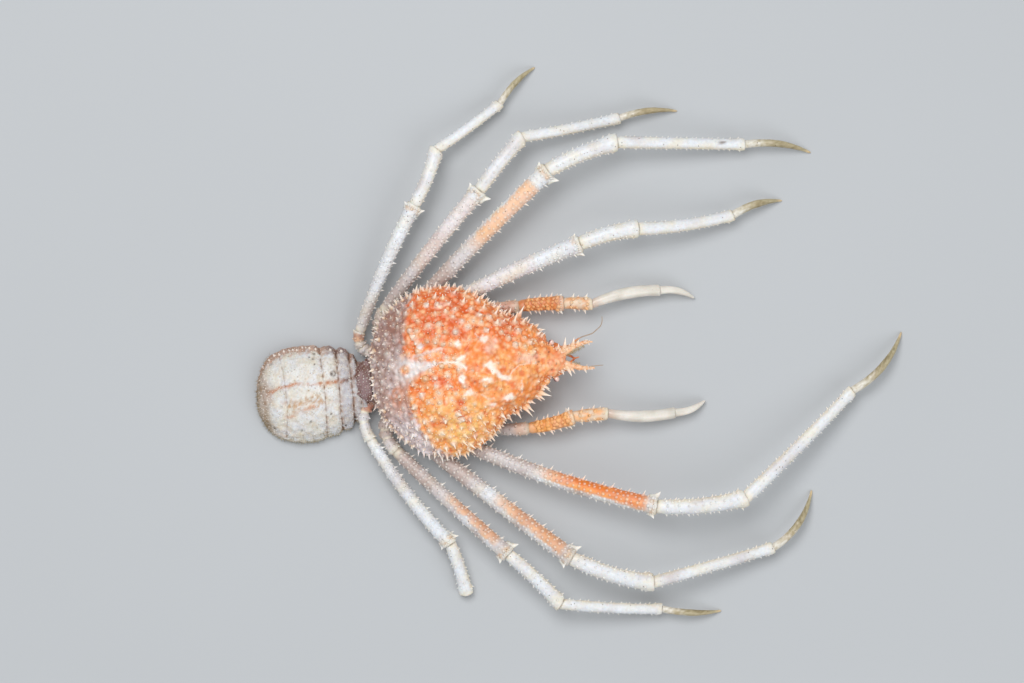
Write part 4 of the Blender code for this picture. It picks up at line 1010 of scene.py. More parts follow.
# Rows of spines along each kind of piece: degrees from the front edge over the top, spacing,
# shortest, longest, root radius, shape
spineRows = {
    "merus": ((0, 1.6, 0.5, 0.9, 0.4, "spine"), (4, 5.6, 1.3, 2.1, 0.46, "spine"),
              (30, 1.9, 0.3, 0.5, 0.42, "tubercle"), (60, 2.0, 0.3, 0.5, 0.44, "tubercle"),
              (92, 2.1, 0.28, 0.46, 0.44, "tubercle"), (124, 2.0, 0.26, 0.44, 0.42, "tubercle"),
              (152, 2.3, 0.2, 0.36, 0.4, "tubercle"),
              (180, 2.6, 0.5, 0.95, 0.48, "spine"), (328, 3.2, 0.3, 0.5, 0.3, "spine")),
    "carpus": ((0, 1.6, 0.5, 1.0, 0.42, "spine"), (38, 2.0, 0.3, 0.6, 0.36, "tubercle"),
               (80, 2.4, 0.25, 0.5, 0.34, "tubercle"), (128, 2.2, 0.3, 0.6, 0.34, "tubercle"),
               (180, 1.8, 0.5, 1.0, 0.4, "spine"), (330, 2.6, 0.3, 0.6, 0.3, "spine")),
    "propodus": ((0, 1.8, 0.4, 0.9, 0.38, "spine"), (45, 2.2, 0.15, 0.4, 0.26, "tubercle"),
                 (95, 2.6, 0.15, 0.35, 0.24, "tubercle"), (140, 2.2, 0.15, 0.4, 0.26, "tubercle"),
                 (180, 1.8, 0.4, 0.8, 0.36, "spine"), (335, 3.0, 0.2, 0.5, 0.26, "spine")),
    "dactylus": ((2, 1.5, 0.12, 0.28, 0.13, "spine"), (180, 1.7, 0.12, 0.25, 0.13, "spine")),
    "clawMerus": ((0, 2.0, 0.9, 2.0, 0.56, "spine"), (34, 1.6, 0.45, 0.8, 0.6, "tubercle"),
                  (68, 1.6, 0.45, 0.75, 0.62, "tubercle"), (102, 1.6, 0.45, 0.75, 0.62, "tubercle"),
                  (138, 1.7, 0.45, 0.8, 0.58, "tubercle"), (180, 1.8, 0.9, 1.9, 0.56, "spine"),
                  (230, 2.4, 0.5, 1.2, 0.4, "spine"), (310, 2.4, 0.5, 1.3, 0.4, "spine")),
    "clawCarpus": ((0, 1.9, 0.7, 1.6, 0.5, "spine"), (48, 1.8, 0.4, 0.9, 0.46, "tubercle"),
                   (90, 1.8, 0.4, 0.8, 0.46, "tubercle"), (135, 1.8, 0.4, 0.9, 0.46, "tubercle"),
                   (180, 1.9, 0.6, 1.5, 0.5, "spine")),
}

# Scale of the spines of a whole limb
spineScale = {"leg_left_2": 0.75, "leg_left_4": 0.8, "leg_left_5": 0.65, "leg_right_2": 1.05,
              "leg_right_4": 0.85, "leg_right_5": 0.75, "leg_left_3": 0.85}

# Orange parts: from, to along the piece, strength, how far it reaches over the top from the front edge
orangeParts = {
    "claw_left_base": (0.5, 1.3, 0.5, 1.2),
    "claw_left_merus": (-0.2, 1.2, 1.0, 1.5),
    "claw_left_carpus": (-0.3, 0.9, 0.8, 1.2),
    "claw_right_base": (0.8, 1.3, 0.3, 1.2),
    "claw_right_merus": (-0.1, 1.2, 1.0, 1.5),
    "claw_right_carpus": (-0.3, 0.9, 0.8, 0.9),
    "leg_left_2_merus": (0.1, 0.7, 0.1, 1.0),
    "leg_left_3_merus": (0.38, 0.905, 0.66, 0.75),
    "leg_left_4_merus": (0.3, 0.95, 0.15, 1.2),
    "leg_right_2_merus": (0.41, 0.965, 1.0, 0.42),
    "leg_right_3_merus": (0.44, 0.95, 0.74, 0.3),
    "leg_right_4_merus": (0.4, 0.9, 0.62, 0.12),
    "leg_right_5_base": (-0.3, 0.42, 0.75, 1.5),
    "leg_left_5_base": (0.62, 0.96, 0.95, 1.5),
}

# Legs whose orange is of another kind
legOranges = {"leg_right_3": "legTan", "leg_right_4": "legTan", "leg_left_3": "legPeach"}

# Dark stains on the legs, on the plan: x, y, half length, half width
limbMarks = ((100.6, 69.4, 1.5, 0.5), (12.5, 60.6, 0.5, 0.4), (-12.7, -40.7, 0.25, 1.1))

# Spines of the knees: length and root radius of the front one and the rear one, and how many beads
kneeSpines = {"length": (2.9, 2.0), "width": (1.6, 1.3), "beads": 9}
limbGap = 0.02  # the lowest point of a limb


def alongOf(article, share):
    share = np.asarray(share, float)[..., None]
    return unit(article["end"] - article["start"] + article["bend"] * 4 * (1 - 2 * share))


def middleOf(article, share):
    share = np.asarray(share, float)[..., None]
    line = article["start"] + (article["end"] - article["start"]) * share
    return line + article["bend"] * 4 * share * (1 - share)


def axesOf(along):
    left = unit(np.stack([-along[:, 1], along[:, 0], 0 * along[:, 0]], 1))
    return left, np.cross(along, left)


def limbChain(name):
    number, start, spans, headings, heights, bows = limbs[name]
    side = 1 if "left" in name else -1
    kinds = ("merus", "carpus") + (("palm", "finger") if number == 1 else ("propodus", "dactylus"))
    point = np.array((*start, heights[0]))
    chain = []
    for index, span in enumerate(spans):
        heading = math.radians(headings[index])
        level = np.array((math.cos(heading), math.sin(heading), 0))
        end = point + level * span
        end[2] = heights[index + 1]
        outer = np.array((-level[1], level[0], 0)) * side
        bend = outer * bows[index] + np.array((0, 0, limbForm["arch"][kinds[index]] * span))
        chain.append({
            "name": name, "kind": kinds[index], "start": point, "end": end, "bend": bend, "side": side,
            "widths": limbWidths[number][kinds[index]], "length": np.linalg.norm(end - point),
        })
        point = end
    for article in chain:
        article["planes"] = [alongOf(article, 0.0), alongOf(article, 1.0)]
    for before, after in zip(chain, chain[1:]):
        joint = unit(before["planes"][1] + after["planes"][0])
        before["planes"][1] = joint
        after["planes"][0] = joint
    return chain


def halfWidthOf(article, share):
    # Half the width along a piece: collar at its far end, waist at its root
    half = np.interp(share, (0.0, 0.5, 1.0), article["widths"]) / 2
    fromStart = share * article["length"]
    fromEnd = (1 - share) * article["length"]
    kind = article["kind"]
    if kind in ("dactylus", "finger"):
        return half * (1 + 0.1 * np.exp(-((share - 0.75) / 0.22) ** 2))
    collar = {"palm": 0.06, "base": 0.1}.get(kind, 0.15)
    collar = collar * np.exp(-((fromEnd - 1.7) / 1.5) ** 2)
    half = half * (1 + collar - 0.04 * np.exp(-(fromStart / 2.2) ** 2))
    if kind == "palm":
        half = half * (1 + 0.07 * np.sin(math.pi * np.clip(share, 0, 1)) ** 2)
    return half


def tubeOf(article, offsets, radii, rise=0.0, flatness=limbForm["flatness"]):
    # A tube through rings at these millimetres along the piece, scaled by radii
    share = np.array(offsets) / article["length"]
    inside = np.clip(share, 0, 1)
    along = alongOf(article, inside)
    near = ease(1 - np.minimum(share, 1 - share) * article["length"] / 2.5)[:, None]
    joint = np.where(share[:, None] < 0.5, article["planes"][0], article["planes"][1])
    plane = unit(along * (1 - near) + joint * near)
    stretch = 1 / np.maximum((plane * along).sum(1), 0.6)
    half = halfWidthOf(article, inside) * np.array(radii)
    left, up = axesOf(plane)
    middle = middleOf(article, share) + np.array((0, 0, 1)) * (rise * halfWidthOf(article, inside))[:, None]

    def place(ring, across, high):
        offset = left[ring] * across * half[ring] * stretch[ring] + up[ring] * high * half[ring] * flatness
        return Vector(middle[ring] + offset)

    skin = sleeve(len(offsets), limbForm["sides"], place)
    skin["share"] = share[skin["ring"]]
    skin["front"] = np.cos(skin["turn"]) * -article["side"]
    skin["high"] = np.sin(skin["turn"])
    return skin


def ringsOf(article, first, last, count, start, end):
    # Millimetres along the piece of each ring of a tube, and how wide each ring is: an even stretch
    # between the rounded start and end
    length = article["length"]
    middle = [(place, 1.0) for place in np.linspace(first, length - last, count)]
    return zip(*start, *middle, *((length - place, radius) for place, radius in end))


def layOrange(tint, article, share, front, high, clouds, flecks):
    # The orange stretch of a piece, with a paler border
    name, kind = article["name"], article["kind"]
    claw = "claw" in name
    first, last, strength, reach = orangeParts[name + "_" + kind]
    amount = ease((share - first) / (0.12 if claw else 0.22)) * ease((last - share) / 0.05) * strength
    wander = 0.25 * high + 0.14 * flecks + 0.5 * ease((share - first - 0.3) / 0.3)
    amount *= ease((front + reach + wander) / 0.55)
    if claw and kind == "carpus":
        amount = amount * np.clip(0.25 + 1.1 * flecks, 0, 1)
    paint = inks["clawOrange" if claw else legOranges.get(name, "legOrange")]
    if kind == "base" and not claw:
        paint = inks["hipBrown"]
    light = 0.3 + 0.35 * flecks - (0.25 * high if claw else 0.4 * ease(front))
    paint = brush(paint, "paleOrange", light + {"leg_left_3": 0.25, "claw_right": 0.55}.get(name, 0.0), 0.85)
    border = amount / strength
    tint = brush(tint, "orangeRim", 2.4 * border * (1 - border) * strength, 0.55)
    return mixInk(tint, paint, np.clip(amount * (0.97 + 0.06 * clouds), 0, 1))


def limbInk(article, share, front, high, points):
    # Colour of a limb at each point
    name, kind = article["name"], article["kind"]
    claw = "claw" in name
    clouds = ripple(points, 7.0, 51)
    flecks = ripple(points, 2.2, 52)
    # Painted light: the top of each piece stays bluish white and its underside turns warmer cream; the clouds
    # are its own colour
    tint = brush(inks["cool"], "cream", 0.4 + 0.5 * clouds - 0.3 * high)
    under = 0.35 if name in ("leg_right_2", "leg_right_3", "leg_right_4") else 0.0
    lilac = {"merus": np.maximum(0.95 * ease((0.62 - share) / 0.5), under), "base": 0.8}.get(kind, 0.0)
    lilac = lilac * (0.45 if name in ("leg_left_2", "leg_left_5", "leg_right_5") else 1.0)
    tint = brush(tint, "legLilac", lilac + 0.25 * ripple(points, 11.0, 53) - 0.05, 0.85)
    # Painted shade: darker bone laid on the underside, over flecks of bone that are its own colour
    tint = brush(tint, "bone", 0.25 * flecks - 0.5 * high, 0.5)
    if kind in ("carpus", "propodus"):
        tint = brush(tint, "edge", 0.5 * ease((front - 0.45) / 0.5) + 0.12 * flecks, 0.7)
    if claw and kind == "carpus":
        tint = brush(tint, "clawTan", 0.75)
    if name + "_" + kind in orangeParts:
        tint = layOrange(tint, article, share, front, high, clouds, flecks)
    fromEnd, fromStart = (1 - share) * article["length"], share * article["length"]
    ends = np.exp(-(fromEnd / 1.9) ** 2) + np.exp(-(fromStart / 2.0) ** 2) * (0.4 if claw else 1.0)
    tint = brush(tint, "joint", 0.7 * ends * (0.85 + 0.3 * flecks), 0.9)
    if kind == "merus" and not claw:
        patch = np.exp(-((fromEnd - 1.9) / 0.8) ** 2) * np.clip(0.5 + flecks, 0, 1) * ease(high + 0.3)
        tint = brush(tint, "kneeStain", 0.75 * patch)
    for mark in limbMarks:
        tint = darken(tint, 0.6, 0.8 * spot(points, *mark, 4))
    crease = np.exp(-((fromEnd - 0.05) / 0.22) ** 2) + 0.6 * np.exp(-((fromStart - 0.05) / 0.22) ** 2)
    return brush(tint, "brown", 0.4 * crease * (0.6 + 0.8 * flecks))


def toeInk(article, share, front, high, points):
    flecks = ripple(points, 1.6, 54)
    fine = ripple(points, 0.8, 56)
    tint = brush(inks["cream"], "olive", ease(share * 2.4 + 0.3 * flecks))
    dark = np.exp(-((share - 0.6) / 0.24) ** 2) * ease(0.5 + 0.8 * front + 0.3 * flecks)
    tint = brush(tint, "darkOlive", 0.6 * dark + 0.35 * fine * dark + 0.15 * fine, 0.9)
    return brush(tint, "horn", ease((share - 0.88) / 0.08))


def clawInk(article, share, front, high, points):
    # Painted light and shade: the lit claw grey on top, clawShade below, and bone darkening the underside;
    # the clouds are its own colour
    tint = brush(inks["clawShade"], "clawLit", 0.5 + 0.5 * ripple(points, 5.0, 55) + 0.3 * high)
    if article["kind"] == "palm":
        tint = brush(tint, "rose", 0.5 * np.exp(-(share * article["length"] / 3.0) ** 2))
    return brush(tint, "bone", -0.6 * high, 0.6)


def rowsOf(article, rows, scale, paint, seed):
    # Rows of spines and tubercles along a piece
    draw = np.random.default_rng(seed)
    forms = []
    for angle, spacing, short, long, radius, form in rows:
        count = int((article["length"] - 3.2) / spacing)
        if count < 1:
            continue
        offsets = 1.9 + (np.arange(count) + draw.uniform(0.2, 0.8, count)) * (article["length"] - 3.2) / count
        share = offsets / article["length"]
        turn = np.radians(angle + draw.uniform(-7, 7, count))
        along = alongOf(article, share)
        left, up = axesOf(along)
        front = np.cos(turn)
        out = left * (-article["side"] * front)[:, None] + up * np.sin(turn)[:, None]
        half = halfWidthOf(article, share)
        rise = left * (-article["side"] * front * half)[:, None]
        rise += up * (np.sin(turn) * half * limbForm["flatness"])[:, None]
        feet = middleOf(article, share) + rise
        even = np.arange(count) % 2 == 0
        mix = np.where(even, draw.uniform(0.55, 1.0, count), draw.uniform(0.0, 0.45, count))
        lengths = between(short, long, mix) * scale
        lean = 0.35 if form == "spine" else 0.4
        ground = paint(article, share, front, np.sin(turn), feet)
        widths = radius * (0.75 + 0.35 * mix) * (0.6 + 0.4 * scale)
        tip = inks["clawBead"] if form == "tubercle" and "claw" in article["name"] else inks["white"]
        root, end, fade = (0.15, 0.6, 1.2) if form == "tubercle" else (0.45, 0.95, 0.6)
        forms.append(grow(form, feet - out * 0.05, out + along * lean, lengths, widths,
                          mixInk(ground, tip, root), mixInk(ground, tip, end), seed + angle, 0.08, fade))
    return forms


def kneeForms(article, seed):
    # A pair of large triangular spines and a bead of small ones on the collar of a merus
    draw = np.random.default_rng(seed)
    size = 0.75 if article["name"] in ("leg_left_2", "leg_right_5", "leg_left_5") else 1.0
    size = 0.6 if "claw" in article["name"] else size
    share = np.array([1 - 1.5 / article["length"]] * 2)
    along = alongOf(article, share)
    left, up = axesOf(along)
    edge = np.array((-1.0, 1.0))[:, None]
    feet = middleOf(article, share) + left * edge * halfWidthOf(article, share)[:, None] * 0.85 + up * 0.2
    ground = limbInk(article, share, edge[:, 0], 0 * share, feet)
    front = -article["side"] * edge[:, 0] > 0
    length, width = (np.where(front, *kneeSpines[key]) * size for key in ("length", "width"))
    big = grow("spine", feet, left * edge + along * 0.7 + up * 0.1, length, width,
               brush(ground, "cream", 0.7), inks["white"], seed, 0.03, 0.9)
    middle = np.repeat(feet[:, 2], len(big["points"]) // 2)
    big["points"][:, 2] = middle + (big["points"][:, 2] - middle) * 0.6  # flattened to plates
    count = kneeSpines["beads"]
    turn = np.radians(np.linspace(15, 165, count) + draw.uniform(-5, 5, count))
    share = np.full(count, 1 - 1.2 / article["length"])
    along = alongOf(article, share)
    left, up = axesOf(along)
    out = left * np.cos(turn)[:, None] + up * np.sin(turn)[:, None]
    feet = middleOf(article, share) + out * halfWidthOf(article, share)[:, None] * 0.93
    ground = limbInk(article, share, np.cos(turn), np.sin(turn), feet)
    small = grow("spine", feet, out + along * 0.9, draw.uniform(0.5, 1.1, count) * size, 0.34, ground,
                 inks["white"], seed)
    return [big, small]


def articleSkin(article, paint, seed):
    tip = article["kind"] == "dactylus"
    count = max(int(article["length"] / limbForm["step"]), 8)
    ends = limbForm["neck"], limbForm["tip" if tip else "cup"]
    skin = tubeOf(article, *ringsOf(article, 1.5, 1.0 if tip else 0.7, count, *ends))
    rough = 0.035 if article["kind"] in ("palm", "dactylus") else 0.08
    skin["points"] += skin["normals"] * (rough * ripple(skin["points"], 1.8, seed))[:, None]
    skin["tint"] = paint(article, skin["share"], skin["front"], skin["high"], skin["points"])
    return skin


def fingerSkin(article, lower):
    # One of the two fingers, which lie over each other
    first, rise = (-1.6, -0.78) if lower else (0.15, 0.72)
    rings = ringsOf(article, first, 0.8, limbForm["fingerRings"], (), limbForm["tip"])
    skin = tubeOf(article, *rings, rise, limbForm["fingerFlatness"])
    skin["tint"] = clawInk(article, skin["share"], skin["front"], skin["high"], skin["points"])
    liftTo(skin, limbGap)
    return skin


def makeArticle(name, article, chain, seed):
    kind = article["kind"]
    node = name + "_" + kind
    claw = name.startswith("claw")
    if kind == "finger":
        return dress(node, fingerSkin(article, False), clawPaint)
    if kind == "palm":
        skin = joinSkins(articleSkin(article, clawInk, seed), fingerSkin(chain[-1], True))
        return dress(node, skin, clawPaint)
    if kind == "dactylus":
        parts = [articleSkin(article, toeInk, seed), *rowsOf(article, spineRows[kind], 1.0, toeInk, seed)]
    else:
        rows = spineRows["claw" + kind.capitalize() if claw else kind]
        scale = spineScale.get(name, 1.0)
        parts = [articleSkin(article, limbInk, seed), *rowsOf(article, rows, scale, limbInk, seed)]
    if kind == "merus":
        parts += kneeForms(article, seed)
    skin = joinSkins(*parts)
    liftTo(skin, limbGap)
    if kind == "dactylus":
        return dress(node, skin, toePaint)
    return dress(node, skin, limbPaint)


def baseArticle(name, first):
    # The short base of a limb, from the breastplate to the merus, as points along a curve
    number, side = limbs[name][0], first["side"]
    front, rear = (np.array((*point, 0)) for point in limbForm["roots"][number - 1:number + 1])
    edge = unit(front - rear)
    leave = np.array((-edge[1], side * edge[0], 0))
    start = (front + rear) / 2 * (1, side, 1)
    start[2] = limbForm["rootHeights"][number]
    end = first["start"]
    arrive = first["planes"][0]
    reach = np.linalg.norm(end - start) * 0.45
    return {"name": name, "kind": "base", "side": side, "widths": limbWidths[number]["base"],
            "curve": (start, start + leave * reach, end - arrive * reach, end), "length": 2.2 * reach}


def makeBase(name, first, seed):
    # Hip and the two short joints after it, drawn along the curve with a waist between them
    base = baseArticle(name, first)
    curve = base["curve"]
    count = 30
    shares = np.linspace(0.012, 0.992, count)
    points = [curve[0] * (1 - s) ** 3 + 3 * curve[1] * s * (1 - s) ** 2 + 3 * curve[2] * s ** 2 * (1 - s)
              + curve[3] * s ** 3 for s in shares]
    along = unit(np.gradient(np.array(points), axis=0))
    left, up = axesOf(along)
    waist = 1 - 0.24 * np.exp(-((shares - 0.42) / 0.035) ** 2) - 0.2 * np.exp(-((shares - 0.64) / 0.035) ** 2)
    waist += 0.14 * np.exp(-((shares - 0.34) / 0.06) ** 2) + 0.1 * np.exp(-((shares - 0.53) / 0.05) ** 2)
    waist += 0.12 * np.exp(-((shares - 0.92) / 0.05) ** 2)
    half = np.interp(shares, (0, 0.5, 1), base["widths"]) / 2 * waist
    half[-1] *= 0.86

    def place(ring, across, high):
        wide, flat = half[ring], limbForm["flatness"]
        return Vector(points[ring] + left[ring] * across * wide + up[ring] * high * wide * flat)

    skin = sleeve(count, limbForm["sides"], place)
    share = shares[skin["ring"]]
    front = np.cos(skin["turn"]) * -base["side"]
    high = np.sin(skin["turn"])
    skin["tint"] = limbInk(base, share, front, high, skin["points"])
    groove = np.exp(-((share - 0.42) / 0.03) ** 2) + np.exp(-((share - 0.64) / 0.025) ** 2)
    skin["tint"] = brush(skin["tint"], "joint", 0.8 * groove)
    pick = np.flatnonzero((high > -0.4) & (share > 0.1) & (share < 0.97) & (groove < 0.3))
    feet = skin["points"][pick]
    chosen = scatter(feet, np.full(len(feet), 1.6), seed)
    normals = skin["normals"][pick][chosen]
    draw = np.random.default_rng(seed)
    ground = skin["tint"][pick][chosen]
    forms = grow("tubercle", feet[chosen], normals + along[skin["ring"][pick][chosen]] * 0.3,
                 draw.uniform(0.2, 0.65, len(chosen)), draw.uniform(0.24, 0.36, len(chosen)),
                 ground, brush(ground, "white", 0.55), seed)
    return dress(name + "_base", joinSkins(skin, forms), limbPaint)


for order, limb in enumerate(limbs):
    chain = limbChain(limb)
    makeBase(limb, chain[0], 100 + order)
    for index, article in enumerate(chain):
        makeArticle(limb, article, chain, 200 + 10 * order + index)
print("limbs done")


pleon = {
    # Outline: place along the plate, middle, half width, height of its top
    "table": ((-70.5, -5.5, 0.6, 1.0), (-70.2, -5.2, 3.2, 3.4), (-69.5, -4.6, 6.3, 5.6),
              (-68.7, -4.4, 8.7, 7.2), (-67.4, -4.2, 11.2, 8.8), (-66.0, -4.1, 13.0, 9.8),
              (-64.0, -4.1, 14.7, 10.8), (-61.5, -4.1, 15.85, 11.6),
              (-58.0, -4.3, 16.6, 12.2), (-54.0, -4.3, 16.9, 12.4),
              (-50.0, -4.2, 16.65, 12.3), (-47.0, -4.2, 16.15, 12.1), (-44.0, -3.95, 15.5, 11.7),
              (-41.2, -3.9, 14.95, 11.2), (-38.7, -3.6, 14.2, 10.6), (-36.6, -3.4, 12.9, 10.1),
              (-35.2, -3.8, 11.9, 9.8), (-34.0, -4.2, 10.6, 9.9), (-32.2, -3.6, 7.8, 10.4)),
    # Seams: x, rings in the segment before it, how far its middle runs forward, depth
    "seams": ((-61.5, 26, 1.9, 0.25), (-47.0, 36, 1.0, 0.6), (-41.2, 22, 0.35, 0.9), (-36.6, 20, 0.3, 1.0),
              (-34.1, 14, 0.5, 1.0), (-32.2, 12, 0.5, 1.0)),
    "sides": 200,
    "liftFrom": -40.0, "lift": 0.5, "edge": 1.5,
    # Lengthwise grooves: path, then strength and width of the stain, depth
    "grooves": ((((-64.9, -2.4), (-62.1, -1.4), (-59.2, -0.9), (-55.9, -0.2)), 0.95, 0.55, 0.5),
                (((-55.9, -0.2), (-50.6, -1.2), (-47.2, -1.1)), 0.65, 0.45, 0.3),
                (((-47.0, -1.1), (-41.2, -0.9), (-36.9, -0.6), (-33.5, 0.6)), 0.9, 0.65, 0.5),
                (((-62.0, -6.6), (-58.7, -7.1), (-39.4, -7.9)), 0.15, 0.6, 0.3)),
    # Painted highlights, pale patches in the brown end of the plate: x, y, half length, half width
    "glintPatches": ((-63.4, 3.4, 3.2, 4.6), (-62.6, -3.4, 2.2, 2.4), (-63.4, -11.5, 3.4, 6.4)),
    "stain": ((-58.0, -7.7), (-55.2, -8.3), (-53.4, -7.8), (-51.1, -6.5), (-49.0, -7.1)),
    "streak": ((-60.2, -11.8), (-58.0, -11.3), (-56.5, -10.3), (-53.6, -9.9), (-49.9, -8.5)),
    "pits": ((-48.7, 9.5), (-50.4, 8.5), (-49.2, 7.8), (-48.8, 5.8), (-64.1, 7.3), (-55.3, -16.9),
             (-65.0, -15.1), (-40.2, -16.6), (-51.8, -14.0), (-44.6, -12.0)),
    "ring": (-42.6, 2.0),
    "tooth": (-33.4, 0.4, 11.4),
    "cones": ((-64.4, 8.7), (-62.8, 10.0), (-61.0, 10.4), (-59.4, 11.3), (-57.3, 11.3), (-56.0, 11.5),
              (-54.8, 11.2), (-52.9, 12.0), (-51.5, 11.8), (-50.2, 11.8), (-48.0, 11.1), (-66.8, 6.6),
              (-43.0, 10.4), (-39.4, 9.6)),
    # Narrow root under the shell: x, middle, half width, lowest and highest z
    "root": ((-34.6, -1.9, 4.6, 5.2, 11.2), (-33.2, -1.9, 6.2, 5.6, 12.0), (-31.4, -1.8, 7.2, 6.4, 12.6),
             (-29.6, -1.6, 7.6, 7.4, 12.9)),
    "rootRings": 22, "rootSides": 44,
}


def tailInk(points, seam, edge, depth):
    # seam is the distance to the nearest seam, edge runs from -1 at the right rim to 1 at the left rim
    x, y = points[:, 0], points[:, 1]
    clouds = ripple(points, 6.0, 61)
    flecks = ripple(points, 1.9, 62)
    fine = ripple(points, 1.2, 60)
    tint = brush(inks["tailWarm"], "tailCool", 0.5 + 0.5 * clouds)
    tint = brush(tint, "bone", 0.15 + 0.35 * ripple(points, 3.6, 63) + 0.3 * fine, 0.7)
    tint = brush(tint, "tailFront", 0.85 * ease((x + 42.5) / 2.5) * np.clip(0.8 + 0.3 * flecks, 0, 1))
    # The brown end is held back over the painted highlights, where the pale ground shows
    glintPatches = sum(spot(points, *lobe, 4) for lobe in pleon["glintPatches"])
    beige = ease((-61.4 - x) / 2.2 + 0.3 * clouds + 0.4 * flecks) * np.clip(1 - 1.1 * glintPatches, 0, 1)
    brown = brush(inks["tailBrown"], "tailBeige", 0.5 + 0.45 * flecks + 0.3 * clouds + 0.3 * fine)
    brown = brush(brown, "tailRust", 0.6 * spot(points, -65.5, -3.0, 2.4, 1.8))
    tint = mixInk(tint, brown, np.clip(0.85 * beige, 0, 0.85))
    left = ease((edge - 0.8) / 0.12 + 0.3 * flecks + 0.1 * fine)
    rim = brush(brush(inks["rimBrown"], "rimPink", 0.5 + 0.5 * flecks), "rimGrey", ease((x + 46) / 3))
    tint = mixInk(tint, rim, np.clip(0.9 * left, 0, 0.92))
    tint = brush(tint, "rimOlive", 0.6 * ease((-edge - 0.95) / 0.05 + 0.2 * flecks), 0.7)
    corner = spot(points, -68.3, -14.0, 2.6, 3.6) + 0.6 * spot(points, -70, -4, 1.2, 7)
    tint = brush(tint, "cornerOlive", 0.8 * corner, 0.8)
    tone = brush(inks["grooveTan"], "grooveBrown", ease((x + 42) / 4))
    for path, strength, wide, _ in pleon["grooves"]:
        line = np.exp(-(offLine(points + 0.25 * fine[:, None], path) / wide) ** 2)
        tint = mixInk(tint, tone, np.clip(strength * line * (0.9 + 0.4 * flecks), 0, 0.95))
    stain = np.exp(-(offLine(points, pleon["stain"]) / 2.2) ** 2)
    tint = brush(tint, "stainTan", stain * (0.3 + 0.6 * flecks + 0.5 * fine), 0.75)
    streak = np.exp(-(offLine(points, pleon["streak"]) / 0.7) ** 2)
    tint = brush(tint, "streakPink", 0.7 * streak * (0.8 + 0.5 * flecks), 0.8)
    tint = brush(tint, "seamTan", 0.5 * depth * np.exp(-(seam / 0.75) ** 2) * (0.8 + 0.8 * flecks))
    strength = (0.22 + 0.5 * depth) * (0.75 + 0.6 * flecks)
    strength = strength + 0.3 * depth * ease((np.abs(edge) - 0.75) / 0.2)
    tint = brush(tint, "seamBrown", strength * np.exp(-(seam / 0.17) ** 2))
    for place in pleon["pits"]:
        tint = darken(tint, 0.15, 0.95 * spot(points, *place, 0.4, 0.34, 4))
    ringX, ringY = pleon["ring"]
    far = np.hypot(x - ringX, y - ringY)
    tint = darken(tint, 0.5, 0.75 * np.exp(-((far - 0.8) / 0.28) ** 2))
    return darken(tint, 0.3, 0.9 * spot(points, ringX - 0.5, ringY, 0.5, 0.6, 4))


def tailRings():
    # Of each ring: place along the plate, middle, half width, top, underside, how far its middle runs
    # forward, distance to the nearest seam and that seam's depth
    table = np.array(pleon["table"])
    ends, counts, forward, depths = np.array(pleon["seams"]).T
    stops = [table[0, 0], *ends]
    along = [table[0, 0]]
    for start, end, count in zip(stops, ends, counts):
        share = np.arange(1, count + 1) / count
        along += list(start + (end - start) * (share - 0.11 * np.sin(2 * math.pi * share)))
    along = np.array(along)
    middles, halves, tops = (np.interp(along, table[:, 0], table[:, column]) for column in (1, 2, 3))
    for values in (middles, halves, tops):
        values[2:-2] = (values[:-4] + values[1:-3] + values[2:-2] + values[3:-1] + values[4:]) / 5
    apart = np.abs(along[:, None] - ends[None, :-1])
    gaps = apart.min(1)
    strong = depths[apart.argmin(1)]
    bows = np.interp(along, stops, [0.0, *forward])
    halves = halves + strong * (0.25 - 0.75 * np.exp(-(gaps / 0.7) ** 2) - 0.35 * np.exp(-(gaps / 2.0) ** 2))
    floors = np.maximum(0.0, (along - pleon["liftFrom"]) * pleon["lift"])
    return along, middles, halves, tops, floors, bows, gaps, strong


def tailPlate():
    # The plate with its seams, grooves and pits; "first" keeps its points before they were pressed in
    along, middles, halves, tops, floors, bows, gaps, strong = tailRings()

    def place(ring, across, up):
        floor, top = floors[ring], tops[ring]
        edge = min(pleon["edge"], (top - floor) * 0.4)
        across = math.copysign(1 - (1 - abs(across)) ** 1.15, across)
        if up > -0.001:
            z = floor + edge + (top - floor - edge) * (1 - abs(across) ** 2.6) ** 0.65
        else:
            z = floor + edge * (1 - math.sqrt(max(1 - abs(across) ** 8, 0)))
        x = along[ring] + bows[ring] * (1 - across ** 2)
        return Vector((x, middles[ring] + halves[ring] * across, z))

    plate = sleeve(len(along), pleon["sides"], place)
    ring, points, normals = (plate[key] for key in ("ring", "points", "normals"))
    top = ease(normals[:, 2] * 3 + 0.9) * ease(points[:, 2] / 0.6)
    gap, depth = gaps[ring], strong[ring]
    push = depth * (0.15 - 0.35 * np.exp(-(gap / 0.16) ** 2) - 0.5 * np.exp(-(gap / 1.1) ** 2))
    push += 0.16 * ripple(points, 3.4, 64) + 0.1 * ripple(points, 1.5, 65) + 0.05 * ripple(points, 0.8, 57)
    for path, _, _, deep in pleon["grooves"]:
        push -= deep * np.exp(-(offLine(points, path) / 0.7) ** 2)
    for pit in pleon["pits"]:
        push -= 0.35 * spot(points, *pit, 0.5, 0.45)
    plate["points"] = points + normals * (push * top)[:, None]
    liftTo(plate, 0.0)
    edge = (points[:, 1] - middles[ring]) / np.maximum(halves[ring], 0.5)
    plate["tint"] = tailInk(plate["points"], gap, edge, depth)
    refreshNormals(plate)
    plate["first"], plate["gap"] = points, gap
    return plate


